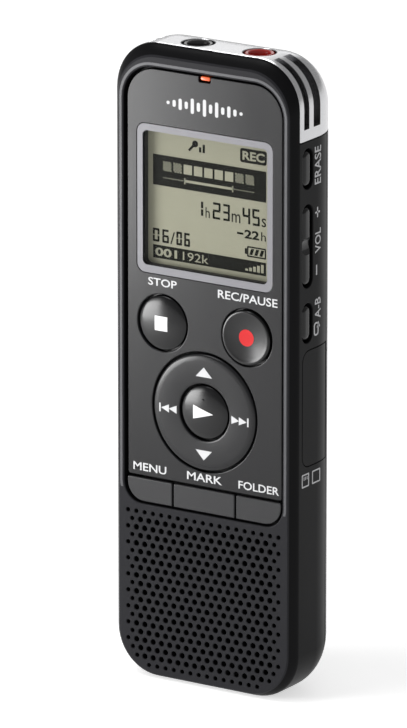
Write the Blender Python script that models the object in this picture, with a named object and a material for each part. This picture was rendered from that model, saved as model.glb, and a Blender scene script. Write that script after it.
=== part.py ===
"""Handheld voice recorder: two shells, a silver top band, a display, keys, a loudspeaker and two AAA cells.

Lengths are millimetres while a piece is drawn: x to the right, y backwards from the front face
and z up from the bottom end. TO_SCENE turns them into metres, with the depth centred on the origin.
"""

import math

import bmesh
import bpy
from mathutils import Matrix

WIDTH, HEIGHT, DEPTH = 37.3, 114.1, 19.3
HALF = WIDTH / 2
CORNER_RADIUS = 8.4  # of the outline seen from the front
ROUND_START = 7.4  # depth at which the sides begin to curve into the back
BACK_RADIUS = DEPTH - ROUND_START
FLANK_WIDTH, FLANK_DEPTH = 1.3, 1.9  # the curved edge between the front face and the side
FLANK_AT_TOP, FLANK_AT_BOTTOM = 1.75, 0.55  # its width at the ends, as shares of its width at the sides
WALL = 1.5
GAP = 0.3
SEAM = 11.3  # depth of the joint between the front and rear shells

BAND_FRONT, BAND_BACK, BAND_BOTTOM = 2.0, 14.5, 100.2
BAND_SLOTS = ((3.1, 4.75), (6.1, 8.3))  # depths of the openings over each microphone
FRONT_WALL, GRILLE_WALL = 3.2, 1.5
RECESS_HALF, RECESS_BOTTOM, RECESS_TOP, RECESS_DEPTH = 16.15, 31.5, 109.95, 1.9
LEDGE_HALF, LEDGE_Z = 14.9, (33.0, 108.6)  # the opening inside the ledge that the panel lies on
SPEAKER_POCKET_HALF, SPEAKER_POCKET_Z = 15.6, (3.0, 30.2)
PANEL_HALF, PANEL_BOTTOM, PANEL_TOP = 15.85, 36.45, 109.65
PANEL_FRONT, PANEL_BACK = 0.6, 1.6
WINDOW_HALF, WINDOW_BOTTOM, WINDOW_TOP, WINDOW_Y = 13.85, 73.25, 99.75, (0.65, 1.35)
GLASS = ((-13.2, 13.2), (2.4, 4.1), (73.9, 99.1))
HOLDER = ((-13.2, 13.2), (4.4, 5.0), (73.4, 99.6))
LAMP_HALF, LAMP_Y, LAMP_Z = 0.95, (0.8, 3.6), (108.85, 109.6)
KEY_X, KEY_Z, KEY_RADIUS = 8.65, 64.6, 4.85
RING_Z, RING_RADIUS, RING_HOLE, PLAY_RADIUS = 49.85, 10.45, 5.15, 4.8
KEY_FLANGE, KEY_STEM = 5.9, 3.0  # radii under the panel
KEY_BACK = 2.5  # depth at which the front keys end
ROW_BOTTOM, ROW_TOP, ROW_SPLIT, ROW_RADIUS = 31.8, 36.05, 6.45, 3.4
ROW_Y = (0.35, 1.35)
SEAT_RADIUS, SEAT_Y = 9.0, (1.95, 2.4)
KEYPAD_HALF, KEYPAD_Y, KEYPAD_Z = 14.0, (3.0, 3.6), (33.4, 72.4)
JACK_Y, HEADPHONE_X, MICROPHONE_X = 5.5, -4.45, 8.05
COLLAR_RADII, COLLAR_HOLE = (1.85, 2.65), 2.95
SIDE_KEY_Y, SIDE_KEY_WAIST = (2.95, 5.7), 0.35
SIDE_WALL = 16.2  # half-width at the inner face of the side walls round the keys
KEY_INNER = 16.8  # half-width at which the side keys end inside
ERASE_Z, VOLUME_Z, REPEAT_Z = (91.9, 98.5), (74.4, 88.6), (64.6, 71.1)
CARD_Y, CARD_Z, CARD_RADIUS = (2.9, 11.0), (42.2, 62.8), 2.2
CARD_HINGE = (18.05, 11.0)
CARD_SLOT = ((16.0, 18.5), (3.7, 5.3), (46.5, 58.5))
CARD_SEAT = (16.6, 17.3)  # half-widths of the thickened wall under the cover
POWER_Z, SPEED_Z, SWITCH_Y = (84.0, 90.0), (52.0, 55.5), (5.2, 7.6)
POWER_TRAVEL, SPEED_TRAVEL = 2.2, 1.6
USB_Y, USB_Z = (6.9, 10.4), (66.5, 74.0)
DOOR_TOP, DOOR_WALL = 61.0, 1.2
DOOR_AXIS = (12.9, 2.2)  # depth and height of the battery door's hinge wire
DOOR_RELIEF_HALF, DOOR_RELIEF_Y, DOOR_RELIEF_TOP = 17.0, (10.75, 11.9), 3.2  # groove that lets the door turn
WIRE_RADIUS, WIRE_LEG = 0.5, 13.3
CELL_RADIUS, CELL_X, CELL_Y, CELL_Z = 5.25, 5.6, 12.55, (10.5, 55.0)
TRAY = ((-12.6, 12.6), (6.7, 14.0), (5.2, 62.0))
BAY = ((-11.2, 11.2), (7.2, 15.0), (7.6, 57.6))
BOARD_Y, BOARD_HALF, BOARD_Z = (5.6, 6.4), 16.2, (4.2, 98.6)
SPEAKER_Z, SPEAKER_RADIUS = 16.6, 13.2
CHIPS = (((-9, -1), (76, 84)), ((2, 13), (72, 86)), ((-6, 0), (88, 92)))
LOW_SCREW, HIGH_SCREW = (14.6, 26.5), (14.9, 90.2)
SCREW_HEAD, SCREW_SHANK, SCREW_HOLE = 1.35, 0.8, 1.1

TO_SCENE = Matrix.Scale(0.001, 4) @ Matrix.Translation((0, -DEPTH / 2, 0))


# Shapes, drawn into a bmesh.


def loft(bm, rings, closed=False):
    """Skin over rings of points, capped at both ends, or joined end to end when closed."""
    loops = [[bm.verts.new(point) for point in ring] for ring in rings]
    following = loops[1:] + loops[:1] if closed else loops[1:]
    for lower, upper in zip(loops, following):
        for i in range(len(lower)):
            bm.faces.new((lower[i - 1], lower[i], upper[i], upper[i - 1]))
    if not closed:
        bm.faces.new(loops[0])
        bm.faces.new(loops[-1])
    bmesh.ops.recalc_face_normals(bm, faces=bm.faces)


def rounded(x_range, z_range, top_radius, bottom_radius, steps=5):
    """Points (a, b) round a rectangle whose top and bottom corners have their own radius."""
    (x0, x1), (z0, z1) = x_range, z_range
    corners = (
        (x1 - top_radius, z1 - top_radius, top_radius, 0),
        (x0 + top_radius, z1 - top_radius, top_radius, 90),
        (x0 + bottom_radius, z0 + bottom_radius, bottom_radius, 180),
        (x1 - bottom_radius, z0 + bottom_radius, bottom_radius, 270),
    )
    points = []
    for centre_x, centre_z, radius, start in corners:
        for step in range(steps + 1):
            angle = math.radians(start + 90 * step / steps)
            points.append((centre_x + radius * math.cos(angle), centre_z + radius * math.sin(angle)))
    return points


def prism(outline, y_range):
    """A plate: an outline in x and z, run through a range of depth."""
    return lambda bm: loft(bm, [[(x, y, z) for x, z in outline] for y in y_range])


def side_prism(outline, x_range):
    """A plate on a side wall: an outline in y and z, run through a range of x."""
    return lambda bm: loft(bm, [[(x, y, z) for y, z in outline] for x in x_range])


def box(x_range, y_range, z_range):
    corners = [(x_range[i], z_range[j]) for i, j in ((0, 0), (1, 0), (1, 1), (0, 1))]
    return prism(corners, y_range)


def circle(radius, height, centre, axis, steps):
    ring = []
    for step in range(steps):
        angle = math.tau * step / steps
        across, up = radius * math.cos(angle), radius * math.sin(angle)
        offset = {"x": (height, across, up), "y": (across, height, up), "z": (across, up, height)}[axis]
        ring.append(tuple(c + o for c, o in zip(centre, offset)))
    return ring


def turned(profile, centre, axis="y", steps=24, closed=False):
    """A lathed solid from (radius, height) points, with height measured along the axis from the centre."""
    return lambda bm: loft(bm, [circle(r, h, centre, axis, steps) for r, h in profile], closed)


def rod(radius, centre, axis, start, end, steps=16):
    return turned([(radius, start), (radius, end)], centre, axis, steps)


def coil_cone(centre_x, z_from, z_to):
    """The outer shape of a conical contact spring."""
    return turned([(3.6, z_from), (2.2, z_to)], (centre_x, CELL_Y, 0), "z", 12)


def body_ring(y, skin=0.0):
    """The recorder's outline at a depth, or that of a surface lying skin inside it."""
    flank = FLANK_WIDTH * max(0.0, 1 - y / FLANK_DEPTH) ** 1.6
    radius = BACK_RADIUS - skin
    back = radius - math.sqrt(radius**2 - max(0.0, y - ROUND_START) ** 2)
    half = HALF - skin - flank - back
    bottom, top = skin + flank * FLANK_AT_BOTTOM + back, HEIGHT - skin - flank * FLANK_AT_TOP - back
    corner = CORNER_RADIUS - skin - 0.4 * flank - 0.3 * back
    return [(x, y, z) for x, z in rounded((-half, half), (bottom, top), corner, corner)]


def body(y_from, y_to, skin=0.0):
    """The recorder's outer form between two depths."""
    depths = [y_from, y_to]
    depths += [FLANK_DEPTH * share for share in (0.3, 0.65, 1) if y_from < FLANK_DEPTH * share < y_to]
    turn = 6
    for step in range(turn):
        y = ROUND_START + (BACK_RADIUS - skin) * math.sin(math.radians(90 * step / turn))
        if y_from < y < y_to:
            depths.append(y)
    return lambda bm: loft(bm, [body_ring(y, skin) for y in sorted(depths)])


# Objects.


def new_object(name, draw):
    bm = bmesh.new()
    draw(bm)
    mesh = bpy.data.meshes.new(name)
    bm.to_mesh(mesh)
    bm.free()
    obj = bpy.data.objects.new(name, mesh)
    bpy.context.scene.collection.objects.link(obj)
    return obj


def piece(name, draw, material, pivot=(0, DEPTH / 2, 0)):
    """A named sub-part, with its origin on pivot, which for a moving piece is a point of its joint's axis."""
    obj = new_object(name, draw)
    obj.data.transform(TO_SCENE)
    origin = TO_SCENE @ Matrix.Translation(pivot)
    obj.data.transform(Matrix.Translation(-origin.to_translation()))
    obj.location = origin.to_translation()
    obj.parent = recorder
    obj.data.materials.append(material)
    obj.data.shade_smooth()
    obj.data.set_sharp_from_angle(angle=math.radians(35))
    return obj


def helper(draw):
    """A hidden shape for a Boolean."""
    obj = new_object("helper", draw)
    obj.data.transform(TO_SCENE)
    obj.hide_render = True
    obj.display_type = "WIRE"
    return obj


def combine(target, operation, *shapes):
    """Booleans on target, in order. A shape is a drawing function or a helper object."""
    for shape in shapes:
        modifier = target.modifiers.new(operation.title(), "BOOLEAN")
        modifier.operation = operation
        modifier.object = helper(shape) if callable(shape) else shape
    return target


def cut(target, *shapes):
    return combine(target, "DIFFERENCE", *shapes)


def fuse(target, *shapes):
    return combine(target, "UNION", *shapes)


def keep(target, shape):
    return combine(target, "INTERSECT", shape)


def material(name, colour, roughness, metallic=0.0, alpha=1.0):
    made = bpy.data.materials.new(name)
    made.use_nodes = True
    shader = made.node_tree.nodes["Principled BSDF"]
    shader.inputs["Base Color"].default_value = (*colour, 1)
    shader.inputs["Roughness"].default_value = roughness
    shader.inputs["Metallic"].default_value = metallic
    shader.inputs["Alpha"].default_value = alpha
    return made


def grown(pair, by):
    return pair[0] - by, pair[1] + by


# Shells and band.


def around_band():
    """The room that the top band takes out of the shells, with its gap."""
    x_range, y_range = (-HALF - 2, HALF + 2), (BAND_FRONT - GAP, BAND_BACK + GAP)
    room = helper(box(x_range, y_range, (BAND_BOTTOM - GAP, HEIGHT + 2)))
    return cut(room, body(0.5, 17.0, WALL + GAP))


def front_shell():
    shell = piece("front_shell", body(0, SEAM), black)
    cut(shell, body(FRONT_WALL, SEAM + 1, WALL), around_band())
    recess = rounded((-RECESS_HALF, RECESS_HALF), (RECESS_BOTTOM, RECESS_TOP), 6.0, 3.7)
    opening = rounded((-LEDGE_HALF, LEDGE_HALF), LEDGE_Z, 4.8, 2.5)
    pocket = rounded((-SPEAKER_POCKET_HALF, SPEAKER_POCKET_HALF), SPEAKER_POCKET_Z, 1.0, 6.5)
    cut(
        shell,
        prism(recess, (-1, RECESS_DEPTH)),
        prism(opening, (RECESS_DEPTH - 1, FRONT_WALL + 1)),
        prism(pocket, (GRILLE_WALL, FRONT_WALL + 1)),
        box(grown((-LAMP_HALF, LAMP_HALF), 0.35), (1.5, FRONT_WALL + 1), (LEDGE_Z[1] - 0.8, RECESS_TOP)),
    )
    fuse(shell, box((CARD_SEAT[0], 17.8), (FRONT_WALL - 0.5, SEAM - 0.6), grown(CARD_Z, 1.3)))
    pocket_y, pocket_z = (CARD_Y[0] - GAP, SEAM + 1), grown(CARD_Z, GAP)
    cut(
        shell,
        side_prism(front_rounded(pocket_y, pocket_z, CARD_RADIUS), (CARD_SEAT[1], HALF + 1)),
        box(*CARD_SLOT),
        box((-DOOR_RELIEF_HALF, DOOR_RELIEF_HALF), (DOOR_RELIEF_Y[0], SEAM + 1), (-1, DOOR_RELIEF_TOP)),
    )
    for z_range in (ERASE_Z, REPEAT_Z):
        cut(shell, side_prism(capsule(grown(SIDE_KEY_Y, GAP), grown(z_range, GAP)), (SIDE_WALL, HALF + 1)))
    cut(shell, side_prism(waisted(grown(SIDE_KEY_Y, GAP), grown(VOLUME_Z, GAP)), (SIDE_WALL, HALF + 1)))
    for z_range, travel in ((POWER_Z, POWER_TRAVEL), (SPEED_Z, SPEED_TRAVEL)):
        slot = capsule(grown(SWITCH_Y, GAP), grown(z_range, travel + GAP))
        cut(shell, side_prism(slot, (-HALF - 1, -SIDE_WALL)))
    cut(shell, box((-HALF - 1, -SIDE_WALL), USB_Y, USB_Z))
    for x in (HEADPHONE_X, MICROPHONE_X):
        well = [(2.8, 101), (2.8, 111.7), (COLLAR_HOLE, 111.7), (COLLAR_HOLE, HEIGHT)]
        cut(shell, turned(well, (x, JACK_Y, 0), "z", 20))
    for side in (-1, 1):
        low, high = (side * LOW_SCREW[0], 0, LOW_SCREW[1]), (side * HIGH_SCREW[0], 0, HIGH_SCREW[1])
        fuse(shell, rod(1.9, low, "y", GRILLE_WALL - 0.5, 6.4), rod(1.4, high, "y", FRONT_WALL - 0.5, 6.7))
        cut(shell, rod(SCREW_HOLE, low, "y", 2.6, 7), rod(SCREW_HOLE, high, "y", 3.8, 7))


def rear_shell():
    shell = piece("rear_shell", body(SEAM + GAP, DEPTH), black)
    cut(
        shell,
        body(SEAM - 1, DEPTH - 1.3, 1.3),
        box((-HALF - 1, HALF + 1), (0, DEPTH + 1), (-1, DOOR_TOP + GAP)),
        around_band(),
    )
    bulkhead = helper(body(SEAM + GAP, DEPTH - 1.0, 1.0))
    keep(bulkhead, box((-HALF, HALF), (0, DEPTH), (DOOR_TOP + GAP, DOOR_TOP + 1.6)))
    fuse(shell, bulkhead, box(*TRAY))
    ear = (LOW_SCREW[0] - 2.5, LOW_SCREW[0] + 1.8)
    guide = (12.3, 14.6)
    for side in (-1, 1):
        low, high = (side * LOW_SCREW[0], 0, LOW_SCREW[1]), (side * HIGH_SCREW[0], 0, HIGH_SCREW[1])
        fuse(
            shell,
            box(sorted(side * x for x in ear), (6.7, 7.9), grown((LOW_SCREW[1],) * 2, 2.2)),
            box(sorted(side * x for x in guide), (11.7, 13.9), (9.0, 11.0)),
            rod(1.95, high, "y", 7.0, 13.0),
        )
        cut(
            shell,
            rod(SCREW_HOLE, low, "y", 6, 9),
            rod(WIRE_RADIUS + GAP, (side * WIRE_LEG, DOOR_AXIS[0], 0), "z", 8, 12),
            rod(SCREW_HOLE, high, "y", 6, 11),
            rod(SCREW_HEAD + GAP, high, "y", 10.0, DEPTH),
            box(sorted((side * 16.1, side * HALF)), (6, SEAM), grown((HIGH_SCREW[1],) * 2, 2.2)),
        )
    cut(shell, box(*BAY), strap_tunnel())


def strap_tunnel():
    """A curved tunnel under the skin of one rear edge, which leaves a bar for a wrist strap."""
    reach, bore = 2.3, 0.9
    slant = BACK_RADIUS * math.sqrt(0.5)
    centre = (-(HALF - BACK_RADIUS) - slant, ROUND_START + slant, 71.0)
    rings = []
    for step in range(16):
        angle = math.tau * step / 16
        radial = (math.cos(angle), math.sin(angle))
        ring = []
        for part in range(8):
            turn = math.tau * part / 8
            out = reach + bore * math.cos(turn)
            x, y = centre[0] + out * radial[0], centre[1] + out * radial[1]
            ring.append((x, y, centre[2] + 1.3 * math.sin(turn)))
        rings.append(ring)
    return lambda bm: loft(bm, rings, closed=True)


def top_band():
    band = piece("top_band", body(BAND_FRONT, BAND_BACK), silver)
    keep(band, box((-HALF - 1, HALF + 1), (0, DEPTH), (BAND_BOTTOM, HEIGHT + 1)))
    cut(band, body(BAND_FRONT - 1, BAND_BACK + 1, WALL))
    for side in (-1, 1):
        for y_range in BAND_SLOTS:
            cut(band, box(sorted((side * 12.4, side * (HALF + 1))), y_range, (102.2, HEIGHT + 1)))
    for x in (HEADPHONE_X, MICROPHONE_X):
        cut(band, rod(COLLAR_HOLE, (x, JACK_Y, 0), "z", HEIGHT - 3, HEIGHT + 1, 24))


def microphones():
    for side, name in ((-1, "left"), (1, "right")):
        mesh = piece(f"microphone_mesh_{name}", body(3.5, 9.6, WALL + GAP), dark_metal)
        keep(mesh, box(sorted((side * 12.25, side * HALF)), (0, DEPTH), (101.6, HEIGHT)))
        cut(mesh, body(3, 10.2, WALL + GAP + 0.7))
        piece(
            f"microphone_capsule_{name}",
            rod(2.0, (side * 14.8, 6.4, 105.4), "x", -1.0, 1.0),
            steel,
        )


# Display and panel.


def face_panel():
    outline = rounded((-PANEL_HALF, PANEL_HALF), (PANEL_BOTTOM, PANEL_TOP), 5.7, 0.4)
    panel = piece("face_panel", prism(outline, (PANEL_FRONT, PANEL_BACK)), dark_gloss)
    around = (PANEL_FRONT - 1, PANEL_BACK + 1)
    window = rounded(
        (-WINDOW_HALF - GAP, WINDOW_HALF + GAP), (WINDOW_BOTTOM - GAP, WINDOW_TOP + GAP), 1.9, 1.9
    )
    notch = box(grown((-LAMP_HALF, LAMP_HALF), 0.35), around, (LAMP_Z[0] - 0.35, PANEL_TOP + 1))
    cut(panel, prism(window, around), notch)
    for x in (-KEY_X, KEY_X):
        cut(panel, rod(KEY_RADIUS + GAP, (x, 0, KEY_Z), "y", *around, 24))
    cut(panel, rod(RING_RADIUS + 0.35, (0, 0, RING_Z), "y", *around, 32))


def display():
    window = rounded((-WINDOW_HALF, WINDOW_HALF), (WINDOW_BOTTOM, WINDOW_TOP), 1.6, 1.6)
    piece("display_window", prism(window, WINDOW_Y), clear)
    piece("display_glass", box(*GLASS), lcd_grey)
    holder = piece("display_holder", box(*HOLDER), white)
    cut(holder, box(grown(HOLDER[0], -2.2), grown(HOLDER[1], 0.5), grown(HOLDER[2], -2.6)))
    piece("indicator_lens", box((-LAMP_HALF, LAMP_HALF), LAMP_Y, LAMP_Z), orange)


# Keys.


def domed(radius, front, base):
    """The profile of a round key with a shallow dome, from its base to its crown."""
    rise = (0.0, 0.3, 0.6, 0.82, 0.95)
    crown = [(radius * math.sqrt(1 - share**2), base - (base - front) * share) for share in rise]
    return crown + [(radius * 0.1, front)]


def front_keys():
    for name, x in (("stop_button", -KEY_X), ("record_button", KEY_X)):
        centre = (x, 0, KEY_Z)
        flange = [(KEY_STEM, KEY_BACK), (KEY_FLANGE, KEY_BACK), (KEY_FLANGE, 1.9), (KEY_RADIUS, 1.9)]
        piece(name, turned(flange + domed(KEY_RADIUS, 0.05, 0.75), centre), key_black, centre)
    centre = (0, 0, RING_Z)
    profile = [(PLAY_RADIUS, KEY_BACK)] + domed(PLAY_RADIUS, 0.0, 0.75)
    piece("play_button", turned(profile, centre), key_black, centre)
    ring = [(RING_HOLE, 1.5), (RING_HOLE, 0.5), (6.2, 0.4), (8.6, 0.35), (10.1, 0.5), (RING_RADIUS, 0.8)]
    ring.append((RING_RADIUS, 1.5))
    pivot = (0, 1.5, RING_Z)
    piece("control_ring", turned(ring, centre, steps=40, closed=True), dark_gloss, pivot)
    front, back = SEAT_Y
    seat = [(RING_HOLE, back), (RING_HOLE, front), (SEAT_RADIUS, front), (SEAT_RADIUS, back)]
    piece("ring_seat", turned(seat, centre, steps=32, closed=True), rubber, pivot)
    row_keys()
    keypad = rounded((-KEYPAD_HALF, KEYPAD_HALF), KEYPAD_Z, 1.5, 1.5, 2)
    piece("keypad", prism(keypad, KEYPAD_Y), rubber)


def row_keys():
    """The three flat keys that close the rounded bottom of the panel."""
    whole = rounded((-PANEL_HALF, PANEL_HALF), (ROW_BOTTOM, ROW_TOP), 0.3, ROW_RADIUS)
    split = 0.2
    spans = {
        "menu_button": (-PANEL_HALF - 1, -ROW_SPLIT - split),
        "mark_button": (-ROW_SPLIT + split, ROW_SPLIT - split),
        "folder_button": (ROW_SPLIT + split, PANEL_HALF + 1),
    }
    for name, span in spans.items():
        middle = max(-10.6, min(10.6, sum(span) / 2))
        key = piece(name, prism(whole, ROW_Y), key_black, (middle, ROW_Y[0], (ROW_BOTTOM + ROW_TOP) / 2))
        keep(key, box(span, (0, 2), (ROW_BOTTOM - 1, ROW_TOP + 1)))
        fuse(key, box((middle - 2.2, middle + 2.2), (1.0, KEY_BACK), (LEDGE_Z[0] + 0.4, ROW_TOP - 0.6)))


def capsule(y_range, z_range):
    radius = (y_range[1] - y_range[0]) / 2 - 0.05
    return rounded(y_range, z_range, radius, radius, 4)


def waisted(y_range, z_range):
    """A capsule drawn in at the middle of its length, as on a two-way rocker."""
    middle, half = sum(z_range) / 2, (z_range[1] - z_range[0]) / 2
    centre_y = sum(y_range) / 2
    radius = (y_range[1] - y_range[0]) / 2 - 0.05
    points = rounded(y_range, z_range, radius, radius, 4)
    corner = len(points) // 2
    reach, waist_y = 0.12 * half, y_range[0] + SIDE_KEY_WAIST
    waist = [(y_range[0], middle + reach), (waist_y, middle), (y_range[0], middle - reach)]
    other = [(2 * centre_y - y, z) for y, z in reversed(waist)]
    return points[:corner] + waist + points[corner:] + other


def front_rounded(y_range, z_range, radius, steps=4):
    """An outline in y and z whose two front corners are round."""
    (y0, y1), (z0, z1) = y_range, z_range
    points = [(y1, z0), (y1, z1)]
    for centre_z, start in ((z1 - radius, 90), (z0 + radius, 180)):
        for step in range(steps + 1):
            angle = math.radians(start + 90 * step / steps)
            points.append((y0 + radius + radius * math.cos(angle), centre_z + radius * math.sin(angle)))
    return points


def side_keys():
    cap = (KEY_INNER, HALF - 0.05)
    for name, z_range in (("erase_button", ERASE_Z), ("repeat_button", REPEAT_Z)):
        pivot = (cap[1], sum(SIDE_KEY_Y) / 2, sum(z_range) / 2)
        piece(name, side_prism(capsule(SIDE_KEY_Y, z_range), cap), key_black, pivot)
    pivot = (17.4, sum(SIDE_KEY_Y) / 2, sum(VOLUME_Z) / 2)
    piece("volume_rocker", side_prism(waisted(SIDE_KEY_Y, VOLUME_Z), cap), key_black, pivot)


def slide_switches():
    knob = (-HALF + 0.05, -KEY_INNER)
    for name, z_range in (("power_switch", POWER_Z), ("speed_switch", SPEED_Z)):
        pivot = (knob[0], sum(SWITCH_Y) / 2, sum(z_range) / 2)
        piece(name, side_prism(capsule(SWITCH_Y, z_range), knob), key_black, pivot)


def card_cover():
    cover = piece("card_cover", body(CARD_Y[0] - 0.5, CARD_Y[1] + 0.5), key_black, (*CARD_HINGE, CARD_Z[0]))
    keep(cover, side_prism(front_rounded(CARD_Y, CARD_Z, CARD_RADIUS - GAP), (CARD_SEAT[1] + GAP, HALF + 1)))


# Inside.


def main_board():
    outline = rounded((-BOARD_HALF, BOARD_HALF), BOARD_Z, 1.0, 7.0, 4)
    board = piece("main_board", prism(outline, BOARD_Y), board_green)
    for x_range, z_range in CHIPS:
        fuse(board, box(x_range, (BOARD_Y[1] - 0.3, BOARD_Y[1] + 1.0), z_range))
    for side in (-1, 1):
        for (x, z), radius in ((LOW_SCREW, 2.3), (HIGH_SCREW, 1.8)):
            cut(board, rod(radius, (side * x, 0, z), "y", BOARD_Y[0] - 1, BOARD_Y[1] + 1))


def sockets():
    piece("card_socket", box((3.6, 16.3), (3.9, 5.3), (45.5, 59.5)), steel)
    usb = piece("usb_socket", box((-17.5, -9.0), grown(USB_Y, -0.35), grown(USB_Z, -0.35)), steel)
    cut(usb, box((-18, -11), grown(USB_Y, -0.75), grown(USB_Z, -0.75)))
    for name, x, colour in (("headphone", HEADPHONE_X, jack_black), ("microphone", MICROPHONE_X, jack_red)):
        centre = (x, JACK_Y, 0)
        barrel = [(2.5, 101.5), (2.5, 111.6), (1.8, 111.6), (1.8, 103.0)]
        piece(f"{name}_jack", turned(barrel, centre, "z", 20), jack_black)
        top = HEIGHT - 0.1
        inner, outer = COLLAR_RADII
        collar = [(inner, 112.0), (outer, 112.0), (outer, top - 0.3), (outer - 0.25, top), (inner + 0.2, top)]
        collar.append((inner, top - 0.3))
        piece(f"{name}_collar", turned(collar, centre, "z", 24, closed=True), colour)


def speaker():
    profile = [(SPEAKER_RADIUS, 1.85), (SPEAKER_RADIUS, 3.0), (9.0, 3.7), (7.4, 3.7), (7.4, 4.9)]
    piece("speaker", turned(profile, (0, 0, SPEAKER_Z), steps=32), dark_metal)


def cells():
    z0, z1 = CELL_Z
    for name, x, up in (("battery_cell_left", -CELL_X, True), ("battery_cell_right", CELL_X, False)):
        profile = [(CELL_RADIUS - 0.4, 0), (CELL_RADIUS, 0.4), (CELL_RADIUS, 43.0), (CELL_RADIUS - 0.6, 43.6)]
        profile += [(1.9, 43.6), (1.9, z1 - z0)]
        heights = [(r, z0 + h if up else z1 - h) for r, h in profile]
        piece(name, turned(heights, (x, CELL_Y, 0), "z", 20), cell_wrap)


def contacts():
    back = (8.6, 14.0)
    bridge = piece("contact_bridge", box((-10.6, 10.6), back, (7.9, 8.4)), steel)
    fuse(bridge, coil_cone(-CELL_X, 8.2, 10.1), rod(1.6, (CELL_X, CELL_Y, 0), "z", 8.2, 10.1))
    plus = piece("contact_plus", box((-10.6, -0.8), back, (56.7, 57.2)), steel)
    fuse(plus, rod(1.6, (-CELL_X, CELL_Y, 0), "z", 55.4, 56.9))
    minus = piece("contact_minus", box((0.8, 10.6), back, (56.7, 57.2)), steel)
    fuse(minus, coil_cone(CELL_X, 56.9, 55.4))


def battery_door():
    hinge_y, hinge_z = DOOR_AXIS
    door = piece("battery_door", body(SEAM + GAP, DEPTH), black, (0, hinge_y, hinge_z))
    cut(
        door,
        body(SEAM - 1, DEPTH - DOOR_WALL, DOOR_WALL),
        box((-HALF - 1, HALF + 1), (0, DEPTH + 1), (DOOR_TOP, HEIGHT + 1)),
        box((-DOOR_RELIEF_HALF, DOOR_RELIEF_HALF), (SEAM, DOOR_RELIEF_Y[1]), (-1, DOOR_RELIEF_TOP)),
    )
    for side in (-1, 1):
        lug = helper(box(sorted((side * 5.0, side * 8.0)), (11.95, 14.2), (0.5, 3.3)))
        fuse(door, keep(lug, body(SEAM, DEPTH - 1, 0.3)))
        cut(door, box(sorted((side * 9.2, side * 13.6)), (11, 13.9), (-1, 5.0)))
    cut(door, rod(WIRE_RADIUS + GAP, (0, hinge_y, hinge_z), "x", -10, 10))


def hinge_wire():
    """A bent steel wire: the battery door turns on its middle, and its legs slide in the tray's guides."""
    y, z = DOOR_AXIS
    leg = [(WIRE_LEG, 16.0), (WIRE_LEG, 5.6), (12.8, 4.2), (12.0, 3.3), (10.8, 2.6), (9.4, z)]
    route = [(-x, height) for x, height in leg] + [(x, height) for x, height in reversed(leg)]
    curve = bpy.data.curves.new("hinge_wire", "CURVE")
    curve.dimensions = "3D"
    curve.bevel_depth = WIRE_RADIUS * 0.001
    curve.bevel_resolution = 2
    curve.use_fill_caps = True
    spline = curve.splines.new("POLY")
    spline.points.add(len(route) - 1)
    pivot = TO_SCENE @ Matrix.Translation((0, y, z))
    for point, (x, height) in zip(spline.points, route):
        point.co = (x * 0.001, 0, (height - z) * 0.001, 1)
    wire = bpy.data.objects.new("hinge_wire", curve)
    bpy.context.scene.collection.objects.link(wire)
    wire.location = pivot.to_translation()
    wire.parent = recorder
    curve.materials.append(steel)


def screws():
    for height, (x, z), head_y, tip_y in (("low", LOW_SCREW, 8.2, 3.0), ("high", HIGH_SCREW, 10.3, 4.2)):
        for side, name in ((-1, "left"), (1, "right")):
            profile = [(SCREW_SHANK, tip_y), (SCREW_SHANK, head_y), (SCREW_HEAD, head_y)]
            profile += [(SCREW_HEAD, head_y + 0.6), (0.95, head_y + 1.0)]
            screw = piece(f"screw_{height}_{name}", turned(profile, (side * x, 0, z), steps=12), steel)
            for long_way in ((0.9, 0.2), (0.2, 0.9)):
                across, up = grown((side * x,) * 2, long_way[0]), grown((z,) * 2, long_way[1])
                cut(screw, box(across, (head_y + 0.5, head_y + 2), up))


for old in list(bpy.data.objects):
    bpy.data.objects.remove(old)
recorder = bpy.data.objects.new("voice_recorder", None)
bpy.context.scene.collection.objects.link(recorder)

black = material("satin_black", (0.028, 0.028, 0.031), 0.42)
dark_gloss = material("dark_gloss", (0.05, 0.05, 0.055), 0.2)
key_black = material("key_black", (0.022, 0.022, 0.024), 0.35)
silver = material("satin_silver", (0.78, 0.78, 0.8), 0.28, 0.9)
steel = material("steel", (0.6, 0.6, 0.62), 0.3, 1.0)
dark_metal = material("dark_metal", (0.05, 0.05, 0.05), 0.5, 0.6)
clear = material("clear_window", (0.9, 0.92, 0.92), 0.05, 0.0, 0.2)
lcd_grey = material("display_grey", (0.43, 0.41, 0.31), 0.3)
white = material("white_plastic", (0.8, 0.8, 0.78), 0.5)
orange = material("orange_lens", (0.9, 0.15, 0.03), 0.2)
rubber = material("rubber", (0.06, 0.06, 0.06), 0.8)
jack_black = material("jack_black", (0.015, 0.015, 0.015), 0.3)
jack_red = material("jack_red", (0.45, 0.015, 0.01), 0.25)
board_green = material("board_green", (0.03, 0.16, 0.07), 0.5)
cell_wrap = material("cell_wrap", (0.1, 0.1, 0.12), 0.35)

front_shell()
rear_shell()
top_band()
microphones()
face_panel()
display()
front_keys()
side_keys()
slide_switches()
card_cover()
main_board()
sockets()
speaker()
cells()
contacts()
battery_door()
hinge_wire()
screws()
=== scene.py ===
# Handheld voice recorder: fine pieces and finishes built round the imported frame.
import math

import bmesh
import bpy
from mathutils import Matrix, Vector


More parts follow.
